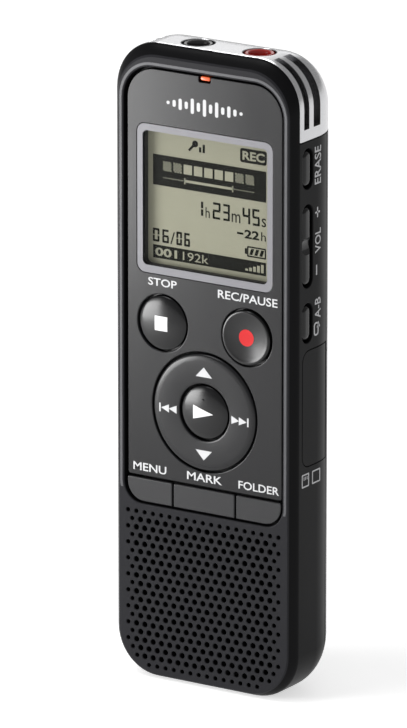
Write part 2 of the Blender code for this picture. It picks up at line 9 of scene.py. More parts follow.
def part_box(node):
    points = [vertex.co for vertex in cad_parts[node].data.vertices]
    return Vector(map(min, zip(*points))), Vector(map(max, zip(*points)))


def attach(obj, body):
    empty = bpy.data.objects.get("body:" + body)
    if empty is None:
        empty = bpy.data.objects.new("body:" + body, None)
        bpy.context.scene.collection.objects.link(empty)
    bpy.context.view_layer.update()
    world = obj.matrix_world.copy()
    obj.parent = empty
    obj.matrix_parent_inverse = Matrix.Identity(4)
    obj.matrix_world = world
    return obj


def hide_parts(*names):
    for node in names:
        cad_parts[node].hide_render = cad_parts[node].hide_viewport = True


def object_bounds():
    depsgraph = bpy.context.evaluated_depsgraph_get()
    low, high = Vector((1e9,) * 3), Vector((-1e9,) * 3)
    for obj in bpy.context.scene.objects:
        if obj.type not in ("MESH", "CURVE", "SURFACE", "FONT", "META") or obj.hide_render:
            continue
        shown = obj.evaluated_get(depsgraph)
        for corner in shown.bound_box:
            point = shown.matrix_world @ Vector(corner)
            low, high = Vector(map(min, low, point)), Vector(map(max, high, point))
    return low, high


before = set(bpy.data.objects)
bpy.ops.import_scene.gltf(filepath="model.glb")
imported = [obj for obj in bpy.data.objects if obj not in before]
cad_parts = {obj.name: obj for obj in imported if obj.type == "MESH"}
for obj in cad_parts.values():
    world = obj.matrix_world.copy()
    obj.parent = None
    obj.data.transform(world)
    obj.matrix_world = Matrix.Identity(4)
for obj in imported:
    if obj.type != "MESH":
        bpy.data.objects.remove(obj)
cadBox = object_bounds()
print("frame loaded:", len(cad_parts), "nodes")

# Forms are drawn in millimetres: x to the right, y backwards from the front face, z up.
mm = 0.001
toScene = Matrix.Scale(mm, 4) @ Matrix.Translation((0, cadBox[0].y / mm, cadBox[0].z / mm))
half = cadBox[1].x / mm
width = (-half, half)
height = (cadBox[1].z - cadBox[0].z) / mm
depth = (cadBox[1].y - cadBox[0].y) / mm


def span(node):  # a CAD node's ranges of x, y and z, in drawing millimetres
    low, high = (toScene.inverted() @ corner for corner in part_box(node))
    return (low.x, high.x), (low.y, high.y), (low.z, high.z)


def centreOf(node):
    return Vector(sum(pair) / 2 for pair in span(node))


def grown(pair, by):
    return pair[0] - by, pair[1] + by


def about(middle, by):
    return middle - by, middle + by


def onSide(side, pair):  # a range of x on one side of the middle
    return tuple(sorted((side * pair[0], side * pair[1])))


# Drawing with bmesh: every function returns a new form.

sideways = Matrix(((0, 1, 0, 0), (1, 0, 0, 0), (0, 0, 1, 0), (0, 0, 0, 1)))  # swaps x and y
upwards = Matrix(((1, 0, 0, 0), (0, 0, 1, 0), (0, 1, 0, 0), (0, 0, 0, 1)))  # swaps y and z
upwardsTurn = Matrix.Rotation(math.pi / 2, 4, "X")


def mended(form):
    bmesh.ops.remove_doubles(form, verts=form.verts, dist=0.0002)
    bmesh.ops.recalc_face_normals(form, faces=form.faces)
    return form


def moved(form, matrix):
    bmesh.ops.transform(form, matrix=matrix, verts=form.verts)
    if matrix.determinant() < 0:
        bmesh.ops.recalc_face_normals(form, faces=form.faces)
    return form


def shifted(form, x=0, y=0, z=0):
    return moved(form, Matrix.Translation((x, y, z)))


def joined(*forms):
    whole = bmesh.new()
    for form in forms:
        part = bpy.data.meshes.new("part")
        form.to_mesh(part)
        form.free()
        whole.from_mesh(part)
        bpy.data.meshes.remove(part)
    return whole


def rounded(form, xs, zs, radii, y, segments=8):  # radii: top right, top left, bottom left, bottom right
    known = set(form.faces)
    places = ((xs[1], zs[1]), (xs[0], zs[1]), (xs[0], zs[0]), (xs[1], zs[0]))
    corners = [form.verts.new((x, y, z)) for x, z in places]
    form.faces.new(corners)
    for corner, radius in zip(corners, radii):
        if radius > 0.001:
            bmesh.ops.bevel(
                form, geom=[corner], offset=radius, offset_type="OFFSET", affect="VERTICES",
                segments=segments, profile=0.5, material=-1,
            )
    return next(face for face in form.faces if face not in known)


def stacked(rings, segments=8):  # a solid through rounded outlines, each (y, xs, zs, radii)
    form = bmesh.new()
    faces = [rounded(form, xs, zs, radii, y, segments) for y, xs, zs, radii in rings]
    loops = [list(face.edges) for face in faces]
    if len(faces) > 2:
        bmesh.ops.delete(form, geom=faces[1:-1], context="FACES_ONLY")
    for front, back in zip(loops, loops[1:]):
        bmesh.ops.bridge_loops(form, edges=front + back)
    bmesh.ops.recalc_face_normals(form, faces=form.faces)
    return form


def fourOf(radii):
    return (radii,) * 4 if isinstance(radii, (int, float)) else radii


def edgeRings(xs, zs, radii, y, rim, out, steps=4):  # quarter round of an edge; out: 1 hole, -1 solid
    rings = []
    for step in range(steps + 1):
        turn = math.pi / 2 * step / steps
        by = out * rim * (1 - math.sin(turn))
        sizes = tuple(max(radius + by, 0.02) if radius else 0 for radius in fourOf(radii))
        rings.append((y + rim * (1 - math.cos(turn)), grown(xs, by), grown(zs, by), sizes))
    return rings


def plate(xs, ys, zs, radii=0, rim=0.0, segments=8, steps=4):  # rim rounds its front edge
    if not rim:
        return stacked([(y, xs, zs, fourOf(radii)) for y in ys], segments)
    rings = edgeRings(xs, zs, radii, ys[0], rim, -1, steps)
    return stacked(rings + [(ys[1], xs, zs, fourOf(radii))], segments)


def opening(xs, ys, zs, radii=0, rim=0.15, lead=1.0, segments=8):  # a cutter whose mouth is rounded over
    rings = edgeRings(xs, zs, radii, ys[0], rim, 1)
    first = rings[0]
    return stacked([(ys[0] - lead, *first[1:])] + rings + [(ys[1], xs, zs, fourOf(radii))], segments)


def turned(profile, centre=(0, 0, 0), axis="y", steps=64, closed=False):  # profile: (radius, height) pairs
    form = bmesh.new()
    verts = [form.verts.new((radius, along, 0)) for radius, along in profile]
    pairs = list(zip(verts, verts[1:])) + ([(verts[-1], verts[0])] if closed else [])
    edges = [form.edges.new(pair) for pair in pairs]
    bmesh.ops.spin(
        form, geom=verts + edges, axis=(0, 1, 0), cent=(0, 0, 0), angle=math.tau, steps=steps, use_merge=True
    )
    mended(form)
    if axis == "z":
        moved(form, upwards)
    if axis == "x":
        moved(form, sideways)
    return shifted(form, *centre)


def rod(radius, centre, axis, start, end, steps=32):
    return turned([(0, start), (radius, start), (radius, end), (0, end)], centre, axis, steps)


def well(radius, centre, ys, rim=0.15, steps=64, axis="y"):  # a round cutter whose mouth is rounded over
    profile = [(0, ys[0] - 1), (radius + rim, ys[0] - 1)]
    for step in range(5):
        turn = math.pi / 2 * step / 4
        profile.append((radius + rim * (1 - math.sin(turn)), ys[0] + rim * (1 - math.cos(turn))))
    return turned(profile + [(radius, ys[1]), (0, ys[1])], centre, axis, steps)


def thickened(form, faces, deep):  # pulls flat faces backwards into a solid
    added = bmesh.ops.extrude_face_region(form, geom=faces)["geom"]
    verts = [v for v in added if isinstance(v, bmesh.types.BMVert)]
    bmesh.ops.translate(form, vec=(0, deep, 0), verts=verts)
    bmesh.ops.recalc_face_normals(form, faces=form.faces)
    return form


def slab(points, y, thick):  # a flat shape in x and z with straight sides
    form = bmesh.new()
    face = form.faces.new([form.verts.new((x, y, z)) for x, z in points])
    return thickened(form, [face], thick)
def bar(xs, zs, y, thick=0.05):
    return slab([(xs[0], zs[0]), (xs[1], zs[0]), (xs[1], zs[1]), (xs[0], zs[1])], y, thick)


def frameOf(outer, inner, ys, segments=8):  # a flat frame between two outlines, each (xs, zs, radii)
    form = bmesh.new()
    loops = []
    for xs, zs, radii in (outer, inner):
        face = rounded(form, xs, zs, fourOf(radii), ys[0], segments)
        loops.append(list(face.edges))
        bmesh.ops.delete(form, geom=[face], context="FACES_ONLY")
    bmesh.ops.bridge_loops(form, edges=loops[0] + loops[1])
    return thickened(form, list(form.faces), ys[1] - ys[0])


def outlined(xs, zs, radius, inside, wall, ys, segments=3):  # a thin printed outline
    return frameOf((xs, zs, radius), (grown(xs, -wall), grown(zs, -wall), inside), ys, segments)
facing = Matrix(((1, 0, 0, 0), (0, 0, -1, 0), (0, 1, 0, 0), (0, 0, 0, 1)))  # lettering that faces the front
facingRight = Matrix(((0, 0, 1, 0), (0, -1, 0, 0), (1, 0, 0, 0), (0, 0, 0, 1)))  # on the right, read upwards
proud = 0.02  # how thick printed marks and letters are


def lettering(text, across, up, place, bold=0.0):  # fills the box across by up
    curve = bpy.data.curves.new("lettering", "FONT")
    curve.body, curve.resolution_u, curve.offset = text, 3, bold
    curve.extrude = 0.5
    holder = bpy.data.objects.new("lettering", curve)
    bpy.context.scene.collection.objects.link(holder)
    graph = bpy.context.evaluated_depsgraph_get()
    mesh = bpy.data.meshes.new_from_object(holder.evaluated_get(graph))
    form = bmesh.new()
    form.from_mesh(mesh)
    bpy.data.objects.remove(holder)
    bpy.data.curves.remove(curve)
    bpy.data.meshes.remove(mesh)
    low = Vector(min(v.co[i] for v in form.verts) for i in range(3))
    high = Vector(max(v.co[i] for v in form.verts) for i in range(3))
    size = high - low
    fit = Matrix.Diagonal(((across[1] - across[0]) / size.x, (up[1] - up[0]) / size.y, proud / size.z, 1))
    moved(form, Matrix.Translation((across[0], up[0], -proud / 2)) @ fit @ Matrix.Translation(-low))
    return moved(mended(form), place)


def textOn(text, across, up, surface, bold=0.0, side="front"):  # surface: the y or x of the face below it
    if side == "front":
        return shifted(lettering(text, across, up, facing, bold), y=surface)
    return shifted(lettering(text, up, (-across[1], -across[0]), facingRight, bold), x=surface)


# Objects.


def draft(form):
    mesh = bpy.data.meshes.new("draft")
    form.to_mesh(mesh)
    form.free()
    obj = bpy.data.objects.new("draft", mesh)
    bpy.context.scene.collection.objects.link(obj)
    return obj


def combine(obj, form, operation="DIFFERENCE"):
    tool = draft(form)
    step = obj.modifiers.new("combine", "BOOLEAN")
    step.operation, step.solver, step.object = operation, "EXACT", tool
    graph = bpy.context.evaluated_depsgraph_get()
    made = bpy.data.meshes.new_from_object(obj.evaluated_get(graph))
    obj.modifiers.clear()
    spent, obj.data = obj.data, made
    bpy.data.meshes.remove(spent)
    bpy.data.objects.remove(tool)
    return obj


def carve(obj, *forms):
    for form in forms:
        combine(obj, form)
    return obj


def fuse(obj, *forms):
    for form in forms:
        combine(obj, form, "UNION")
    return obj


def keep(obj, form):
    return combine(obj, form, "INTERSECT")


def finished(obj, name, finish, body, replaces=(), sharp=32):  # puts a drawn object in the frame
    obj.name = obj.data.name = name
    form = bmesh.new()
    form.from_mesh(obj.data)
    bmesh.ops.remove_doubles(form, verts=form.verts, dist=0.00002)
    bmesh.ops.dissolve_degenerate(form, edges=form.edges, dist=0.00002)
    form.to_mesh(obj.data)
    form.free()
    obj.data.transform(toScene)
    obj.data.materials.clear()
    obj.data.materials.append(finish.material)
    obj.data.shade_smooth()
    obj.data.set_sharp_from_angle(angle=math.radians(sharp))
    weigh = obj.modifiers.new("flatFaces", "WEIGHTED_NORMAL")  # keeps broad faces flat beside round edges
    weigh.keep_sharp, weigh.weight = True, 100
    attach(obj, body)
    if replaces:
        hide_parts(*replaces)
    return obj


def piece(form, name, finish, body, replaces=(), sharp=32):
    return finished(draft(form), name, finish, body, replaces, sharp)


# Finishes.


class Wire:  # one socket, so that shader maths is written as sums
    def __init__(self, finish, socket):
        self.finish, self.socket = finish, socket

    def maths(self, operation, first, second):
        return self.finish.node("ShaderNodeMath", {"operation": operation}, {0: first, 1: second})

    def __add__(self, other):
        return self.maths("ADD", self, other)

    def __sub__(self, other):
        return self.maths("SUBTRACT", self, other)

    def __rsub__(self, other):
        return self.maths("SUBTRACT", other, self)

    def __mul__(self, other):
        return self.maths("MULTIPLY", self, other)

    def __gt__(self, other):
        return self.maths("GREATER_THAN", self, other)

    def __lt__(self, other):
        return self.maths("LESS_THAN", self, other)

    def __mod__(self, other):
        return self.maths("FLOORED_MODULO", self, other)

    __radd__, __rmul__ = __add__, __mul__


class Finish:  # a material, its Principled shader and the nodes that feed it
    def __init__(self, name, colour, roughness, **constants):
        self.material = bpy.data.materials.new(name)
        self.material.use_nodes = True
        self.tree = self.material.node_tree
        self.shader = self.tree.nodes["Principled BSDF"]
        self.colour = (*colour, 1)
        self.shader.inputs["Base Color"].default_value = self.colour
        self.shader.inputs["Roughness"].default_value = roughness
        for name, value in constants.items():
            self.shader.inputs[name.replace("_", " ")].default_value = value
        self.place = self.node("ShaderNodeTexCoord", output="Object")

    def node(self, kind, settings=None, sockets=None, output=0):
        made = self.tree.nodes.new(kind)
        for name, value in (settings or {}).items():
            if name != "stops":
                setattr(made, name, value)
                continue
            for index, (where, colour) in enumerate(value):
                stops = made.color_ramp.elements
                stop = stops[index] if index < len(stops) else stops.new(where)
                stop.position, stop.color = where, (*colour, 1)
        for name, value in (sockets or {}).items():
            if isinstance(value, Wire):
                self.tree.links.new(value.socket, made.inputs[name])
            else:
                made.inputs[name].default_value = value
        return Wire(self, made.outputs[output])

    def feed(self, name, value):
        self.tree.links.new(value.socket, self.shader.inputs[name])

    def noise(self, size, detail=2.0, stretch=(1, 1, 1)):  # features about size millimetres across
        place = self.node("ShaderNodeMapping", sockets={"Vector": self.place, "Scale": stretch})
        return self.node(
            "ShaderNodeTexNoise", sockets={"Vector": place, "Scale": 1 / (size * mm), "Detail": detail}
        )

    def mix(self, share, first, second):
        return self.node("ShaderNodeMix", {"data_type": "RGBA"}, {0: share, 6: first, 7: second}, output=2)

    def shade(self, by):  # the finish's colour, darker or lighter by a factor
        return tuple(min(1, channel * by) for channel in self.colour[:3]) + (1,)

    def axes(self):  # x, y and z in metres
        split = self.tree.nodes.new("ShaderNodeSeparateXYZ")
        self.tree.links.new(self.place.socket, split.inputs[0])
        return [Wire(self, socket) for socket in split.outputs]

    def bumps(self, level, strength, deep):  # deep is the height of the relief in millimetres
        sockets = {"Height": level, "Strength": strength, "Distance": deep * mm}
        self.feed("Normal", self.node("ShaderNodeBump", sockets=sockets))
        return self


def moulded(name, colour, roughness, grain=0.22, relief=0.002, patch=9.0, spread=0.1, shine=0.5, **constants):
    # moulded plastic: a fine grain, faint cloudiness and slightly uneven gloss
    made = Finish(name, colour, roughness, Specular_IOR_Level=shine, **constants)
    cloud, fine = made.noise(patch, 3.0), made.noise(grain, 3.0)
    share = cloud * 0.7 + fine * 0.3
    made.feed("Base Color", made.mix(share, made.shade(1 - spread), made.shade(1 + spread)))
    smear = made.noise(patch * 0.6, 4.0, (1, 1, 0.4))
    made.feed("Roughness", roughness * 0.82 + roughness * 0.36 * smear)
    return made.bumps(fine, 0.35, relief)


def metal(name, colour, roughness, brush=(1, 1, 1), relief=0.004, **constants):
    made = Finish(name, colour, roughness, Metallic=1.0, **constants)
    lines, cloud = made.noise(0.12, 4.0, brush), made.noise(5.0, 3.0)
    made.feed("Base Color", made.mix(lines * 0.5 + cloud * 0.5, made.shade(0.86), made.shade(1.1)))
    made.feed("Roughness", roughness * 0.8 + roughness * 0.4 * lines)
    return made.bumps(lines, 0.3, relief)


# painted highlight: a light grey for the bead round the recess, standing in for the highlight on the rim's
# rounded edge
rimSatin = moulded("rimSatin", (0.075, 0.075, 0.081), 0.36, relief=0.003, shine=0.3)
caseBlack = moulded("caseBlack", (0.005, 0.005, 0.0055), 0.34, relief=0.008, shine=0.06)
shellBlack = moulded("shellBlack", caseBlack.colour[:3], 0.34, relief=0.008, shine=0.06)
panelGloss = moulded("panelGloss", (0.0085, 0.0085, 0.0095), 0.21, grain=0.09, shine=0.26)
keyBlack = moulded("keyBlack", (0.0035, 0.0035, 0.004), 0.19, grain=0.15, shine=0.33)
ringGloss = moulded("ringGloss", (0.0095, 0.0095, 0.0105), 0.22, grain=0.1, shine=0.29)
rowGloss = moulded("rowGloss", (0.0135, 0.0135, 0.015), 0.22, grain=0.1, shine=0.4)
bandSilver = metal("bandSilver", (0.6, 0.6, 0.612), 0.26, (1, 1, 6))
framePrint = moulded("framePrint", (0.165, 0.162, 0.178), 0.42, grain=0.12, spread=0.05)
shroudBlack = moulded("shroudBlack", (0.012, 0.012, 0.013), 0.45, relief=0.012)
printWhite = moulded("printWhite", (0.58, 0.58, 0.59), 0.5, grain=0.1, spread=0.04)
markWhite = moulded("markWhite", (0.74, 0.74, 0.74), 0.42, grain=0.1, spread=0.02)
markRed = moulded("markRed", (0.58, 0.028, 0.03), 0.38, grain=0.1, spread=0.06, shine=0.08)
sidePrint = moulded("sidePrint", (0.42, 0.42, 0.43), 0.5, grain=0.1, spread=0.05)
displayPaper = moulded(
    "displayPaper", (0.255, 0.252, 0.188), 0.42, grain=0.3, relief=0.001, patch=14, spread=0.05, shine=0.03
)
displayInk = moulded(
    "displayInk", (0.005, 0.0055, 0.0035), 0.4, grain=0.3, relief=0.001, spread=0.08, shine=0.02
)
lampOrange = moulded("lampOrange", (0.90, 0.13, 0.03), 0.22, grain=0.3, spread=0.08)
rubberGrey = moulded("rubberGrey", (0.05, 0.05, 0.05), 0.8, grain=0.3, relief=0.03)
jackBlack = moulded("jackBlack", (0.012, 0.012, 0.012), 0.22)
jackRed = moulded("jackRed", (0.42, 0.014, 0.008), 0.2, spread=0.06)
steelBright = metal("steelBright", (0.62, 0.62, 0.63), 0.26)
whitePlastic = moulded("whitePlastic", (0.78, 0.78, 0.76), 0.5, relief=0.012)
goldContact = metal("goldContact", (0.85, 0.62, 0.28), 0.25)

# painted light: the front shell's face is coloured lighter than its flanks and sides, standing in for the
# light that the face catches
paintedFrontLight = {"colour": (0.021, 0.021, 0.0235, 1), "deep": 0.25}
paintedFrontLightMask = (paintedFrontLight["deep"] * mm + cadBox[0].y) > shellBlack.axes()[1]
shellBlack.feed("Base Color", shellBlack.mix(paintedFrontLightMask, shellBlack.colour, paintedFrontLight["colour"]))

windowClear = Finish("windowClear", (0.9, 0.9, 0.92), 0.06, Metallic=1.0)
windowSmear = windowClear.noise(4.0, 4.0)
windowClear.feed("Alpha", 0.0012 + 0.0012 * windowSmear)
windowClear.feed("Roughness", 0.42 + 0.08 * windowSmear)


def boardLook():  # solder mask with copper tracks under it and rows of tinned pads
    made = Finish("boardGreen", (0.018, 0.12, 0.05), 0.35)
    x, _, z = made.axes()
    tracks = ((x + made.noise(9.0) * 0.002) * 900 % 1.0 < 0.35) * (made.noise(7.0) > 0.45)
    pads = ((x * 700 % 1.0) < 0.5) * ((z * 350 % 1.0) < 0.4) * (made.noise(5.0, 0.0) > 0.6)
    copper = made.mix(tracks, made.colour, (0.05, 0.24, 0.09, 1))
    made.feed("Base Color", made.mix(pads, copper, (0.62, 0.6, 0.55, 1)))
    made.feed("Metallic", pads * 0.9)
    made.feed("Roughness", 0.38 - pads * 0.12)
    return made.bumps(tracks * 0.5 + pads, 0.5, 0.04)


def clothLook(name, pitch):  # woven metal cloth
    made = Finish(name, (0.035, 0.035, 0.037), 0.45, Metallic=0.4)
    x, y, z = made.axes()
    rate = math.tau / (pitch * mm)
    waves = [made.node("ShaderNodeMath", {"operation": "SINE"}, {0: axis * rate}) for axis in (x + y, z - y)]
    weave = waves[0] * waves[1] * 0.5 + 0.5
    made.feed("Base Color", made.mix(weave, made.shade(0.3), made.shade(2.2)))
    return made.bumps(weave, 0.7, 0.08)


def cellLook():  # a shrink-wrapped cell: a dark body, a lighter shoulder band and a bright end
    made = Finish("cellWrap", (0.03, 0.035, 0.05), 0.3, Coat_Weight=0.4)
    _, _, z = made.axes()
    low, high = (edge * mm for edge in span("battery_cell_left")[2])
    share = made.node("ShaderNodeMapRange", sockets={0: z, 1: low, 2: high})
    wraps = made.node(
        "ShaderNodeValToRGB",
        {"stops": [(0, (0.55, 0.33, 0.08)), (0.22, (0.03, 0.035, 0.05)), (0.225, (0.03, 0.035, 0.05)),
                   (0.78, (0.03, 0.035, 0.05)), (0.785, (0.5, 0.5, 0.52))]},
        {0: share},
    )
    wraps.socket.node.color_ramp.interpolation = "CONSTANT"
    made.feed("Base Color", made.mix(made.noise(3.0) * 0.25, wraps, (0.1, 0.1, 0.1, 1)))
    return made.bumps(made.noise(0.8, 3.0), 0.2, 0.01)


boardGreen = boardLook()
meshCloth, speakerCloth = clothLook("meshCloth", 0.35), clothLook("speakerCloth", 0.5)
cellWrap = cellLook()
print("finishes made")

# The casing's outer form.

case = {
    "skin": 0.03, "corner": 8.4, "segments": 12,
    "roundStart": 7.4, "backSteps": 20,
    "flankWidth": 1.3, "flankDepth": 1.9, "flankTop": 1.75, "flankBottom": 0.55, "flankSteps": 12,
    "wall": 1.5, "gap": 0.3, "seam": 11.3, "seamEdge": 0.12,
}
backRadius = depth - case["roundStart"]


def outlineAt(y, skin):
    flank = case["flankWidth"] * max(0.0, 1 - y / case["flankDepth"]) ** 1.6
    radius = backRadius - skin
    back = radius - math.sqrt(max(0.0, radius**2 - max(0.0, y - case["roundStart"]) ** 2))
    side = half - skin - flank - back
    low = skin + flank * case["flankBottom"] + back
    high = height - skin - flank * case["flankTop"] - back
    corner = case["corner"] - skin - 0.4 * flank - 0.3 * back
    return y, (-side, side), (low, high), (corner,) * 4


def bodyForm(start, end, skin=None, softStart=0.0, softEnd=0.0):  # the form between two depths
    skin = case["skin"] if skin is None else skin
    count = case["flankSteps"]
    steps = [case["flankDepth"] * (step / count) ** 1.3 for step in range(1, count + 1)]
    for step in range(case["backSteps"]):
        turn = math.pi / 2 * step / case["backSteps"]
        steps.append(case["roundStart"] + (backRadius - skin) * math.sin(turn))
    depths = [start] + [y for y in steps if start + softStart + 0.02 < y < end - softEnd - 0.02] + [end]
    rings = [outlineAt(y, skin) for y in depths]
    if softStart:
        rings[0:1] = [outlineAt(start, skin + softStart), outlineAt(start + softStart, skin)]
    if softEnd:
        rings[-1:] = [outlineAt(end - softEnd, skin), outlineAt(end, skin + softEnd)]
    return stacked(rings, case["segments"])


def block(xs, ys, zs):
    return plate(xs, ys, zs)


band = {
    "ys": (2.0, 14.5), "bottom": 100.2, "gap": 0.22, "edge": 0.22, "slots": ((3.1, 4.75), (6.1, 8.3)),
    "slotInside": 12.4, "slotBottom": 102.2, "jackY": 5.5, "headphoneX": -4.45, "microphoneX": 8.05,
    "hole": 2.95, "holeEdge": 0.12, "bore": 2.8, "boreZs": (101, 111.7),
}


def bandRoom():
    gap = band["gap"]
    room = draft(block(grown(width, 2), grown(band["ys"], gap), (band["bottom"] - gap, height + 2)))
    return carve(room, bodyForm(0.5, 17.0, case["wall"] + case["gap"]))


def asForm(obj):
    form = bmesh.new()
    form.from_mesh(obj.data)
    bpy.data.objects.remove(obj)
    return form


# Side keys: outlines are drawn in y and z, then turned to the side.


flipped = Matrix.Diagonal((-1, 1, 1, 1))  # swaps left and right


def mirrored(form):
    return moved(form, flipped)


def onRight(form, x):  # stands a form that is drawn in y and z on the right side, with its face at x
    return moved(form, Matrix.Translation((x, 0, 0)) @ flipped @ sideways)


def capsule(ys, zs, xs, rim=0.0, mouth=0.0, segments=10):  # the outer end is xs[1]; a mouth makes it a cutter
    radius = (ys[1] - ys[0]) / 2 - 0.02
    deep = (0, xs[1] - xs[0])
    if mouth:
        return onRight(opening(ys, deep, zs, radius, mouth, 1.0, segments), xs[1])
    return onRight(plate(ys, deep, zs, radius, rim, segments), xs[1])


rightKeys = {"erase_button": "erase_key", "repeat_button": "repeat_key"}
keyRoom = {"gap": 0.28, "wallInside": 16.2, "mouth": 0.18}
switches = {"power_switch": ("power_slider", 2.2), "speed_switch": ("speed_slider", 1.6)}
card = {
    "radius": 2.2, "floor": 17.3, "seat": (16.6, 17.8), "cover": 17.6, "gap": 0.2, "coverInset": 0.3,
    "slotX": (16.0, 18.5), "slotY": (3.7, 5.3), "slotZ": (46.5, 58.5),
}
usb = {"ys": (6.9, 10.4), "zs": (66.5, 74.0), "deep": 2.6, "radius": 0.4, "mouth": 0.2}
lowScrew, highScrew = (14.6, 26.5), (14.9, 90.2)  # x and z of the case screws
screwHole = {"pilot": 1.1, "head": 1.65, "room": 2.2, "roomInside": 16.1}
doorRelief = {"xs": (-17.0, 17.0), "front": 10.75, "back": 11.9, "top": 3.2}

grille = {
    "rows": 20, "top": 29.97, "pitchZ": 1.463, "pitchX": 1.727, "radius": 0.52, "edgeRadius": 0.4,
    "edgeRows": {17: 14.6, 18: 13.7, 19: 11.5}, "rim": 0.09, "sides": 12, "reach": (-0.5, 1.7),
}


def keyOpening(node, travel=0.0):  # the cutter for a side key's opening, drawn on the right
    ys, zs = span(node)[1:]
    gap, xs = keyRoom["gap"], (keyRoom["wallInside"], half - case["skin"])
    return capsule(grown(ys, gap), grown(zs, travel + gap), xs, mouth=keyRoom["mouth"])


def grillePegs():  # one peg for each hole, with a flared mouth
    pegs = []
    for row in range(grille["rows"]):
        count = 19 - row % 2
        z = grille["top"] - row * grille["pitchZ"]
        widest = grille["edgeRows"].get(row, (count - 1) / 2 * grille["pitchX"])
        for index in range(count):
            x = (index - (count - 1) / 2) * grille["pitchX"]
            outer = abs(x) > widest - 0.6 * grille["pitchX"]
            if abs(x) > widest + 0.45 * grille["pitchX"]:
                continue
            if outer:
                x = math.copysign(min(abs(x), widest), x)
            small = outer or row in (0, grille["rows"] - 1)
            pegs.append((x, z, grille["edgeRadius"] if small else grille["radius"]))
    shapes = {}
    start, end = grille["reach"]
    for radius in {peg[2] for peg in pegs}:
        rim = grille["rim"]
        profile = [(0, start), (radius + rim, start), (radius + rim, case["skin"])]
        profile += [(radius, rim + case["skin"]), (radius, end), (0, end)]
        mesh = bpy.data.meshes.new("peg")
        turned(profile, steps=grille["sides"]).to_mesh(mesh)
        shapes[radius] = mesh
    whole = bmesh.new()
    for x, z, radius in pegs:
        first = len(whole.verts)
        whole.from_mesh(shapes[radius])
        whole.verts.ensure_lookup_table()
        bmesh.ops.translate(whole, vec=(x, 0, z), verts=whole.verts[first:])
    print("grille holes:", len(pegs))
    return whole


recess = {"half": 16.35, "zs": (31.5, 110.1), "depth": 1.9, "top": 6.0, "bottom": 3.7, "rim": 0.22}
frontWall, grilleWall = 3.2, 1.5


def recessOutline(by=0.0):  # the recess's outline, grown
    radii = (recess["top"] + by,) * 2 + (recess["bottom"] + by,) * 2
    return grown((-recess["half"], recess["half"]), by), grown(recess["zs"], by), radii


def frontShell():
    seam = case["seam"] + 0.16
    shell = draft(bodyForm(case["skin"], seam, softEnd=case["seamEdge"]))
    carve(shell, bodyForm(frontWall, seam + 1, case["wall"]), asForm(bandRoom()))
    xs, zs, radii = recessOutline()
    carve(
        shell,
        opening(xs, (case["skin"], recess["depth"]), zs, radii, recess["rim"], segments=10),
        plate((-14.9, 14.9), (recess["depth"] - 1, frontWall + 1), (33.0, 108.6), (4.8, 4.8, 2.5, 2.5)),
        plate((-15.6, 15.6), (grilleWall, frontWall + 1), (3.0, 30.2), (1.0, 1.0, 6.5, 6.5)),
        block((-1.3, 1.3), (1.5, frontWall + 1), (107.8, recess["zs"][1])),
    )
    cardYs, cardZs = span("card_cover")[1:]
    fuse(shell, block(card["seat"], (frontWall - 0.5, seam - 0.6), grown(cardZs, 1.3)))
    pocketYs, pocketZs = (cardYs[0] - card["gap"], seam + 1), grown(cardZs, card["gap"])
    corners = (0, card["radius"], card["radius"], 0)
    pocket = stacked([(x, pocketYs, pocketZs, corners) for x in (card["floor"], half + 1)], 10)
    carve(
        shell,
        moved(pocket, sideways),
        block(card["slotX"], card["slotY"], card["slotZ"]),
        block(doorRelief["xs"], (doorRelief["front"], seam + 1), (-1, doorRelief["top"])),
    )
    for node in (*rightKeys, "volume_rocker"):
        carve(shell, keyOpening(node))
    for node, (_, travel) in switches.items():
        carve(shell, mirrored(keyOpening(node, travel)))
    mouth = opening(usb["ys"], (0, usb["deep"]), usb["zs"], usb["radius"], usb["mouth"])
    carve(shell, mirrored(onRight(mouth, half - case["skin"])))
    for x in (band["headphoneX"], band["microphoneX"]):
        low, high = band["boreZs"]
        profile = [(0, low), (band["bore"], low), (band["bore"], high)]
        profile += [(band["hole"], high), (band["hole"], height), (0, height)]
        carve(shell, turned(profile, (x, band["jackY"], 0), "z", 32))
    pilot = screwHole["pilot"]
    for side in (-1, 1):
        low, high = (side * lowScrew[0], 0, lowScrew[1]), (side * highScrew[0], 0, highScrew[1])
        fuse(shell, rod(1.9, low, "y", grilleWall - 0.5, 6.4), rod(1.4, high, "y", frontWall - 0.5, 6.7))
        carve(shell, rod(pilot, low, "y", 2.6, 7), rod(pilot, high, "y", 3.8, 7))
    carve(shell, grillePegs())
    return finished(shell, "frontShell", shellBlack, "casing", ("front_shell",))


doorEdge = {"top": 61.0, "gap": 0.14, "wall": 1.2, "bulkhead": 62.6}
tray = {"xs": (-12.6, 12.6), "ys": (6.7, 14.0), "zs": (5.2, 62.0)}
bay = {"xs": (-11.2, 11.2), "ys": (7.2, 15.0), "zs": (7.6, 57.6)}
wire = {"radius": 0.5, "leg": 13.3, "y": 12.9, "z": 2.2}
strap = {"reach": 2.3, "bore": 0.9, "tall": 1.3, "z": 71.0}


def strapTunnel():  # a ring-shaped bore under one rear edge, which leaves a bar for a wrist strap
    form = bmesh.new()
    ring = bmesh.ops.create_circle(form, segments=16, radius=1.0)["verts"]
    shape = Matrix.Translation((strap["reach"], 0, 0)) @ Matrix.Diagonal((strap["bore"], strap["tall"], 1, 1))
    bmesh.ops.transform(form, matrix=upwardsTurn @ shape, verts=ring)
    bmesh.ops.spin(
        form, geom=list(form.verts) + list(form.edges), axis=(0, 0, 1), cent=(0, 0, 0), angle=math.tau,
        steps=32, use_merge=True,
    )
    slant = backRadius * math.sqrt(0.5)
    return shifted(mended(form), -(half - backRadius) - slant, case["roundStart"] + slant, strap["z"])


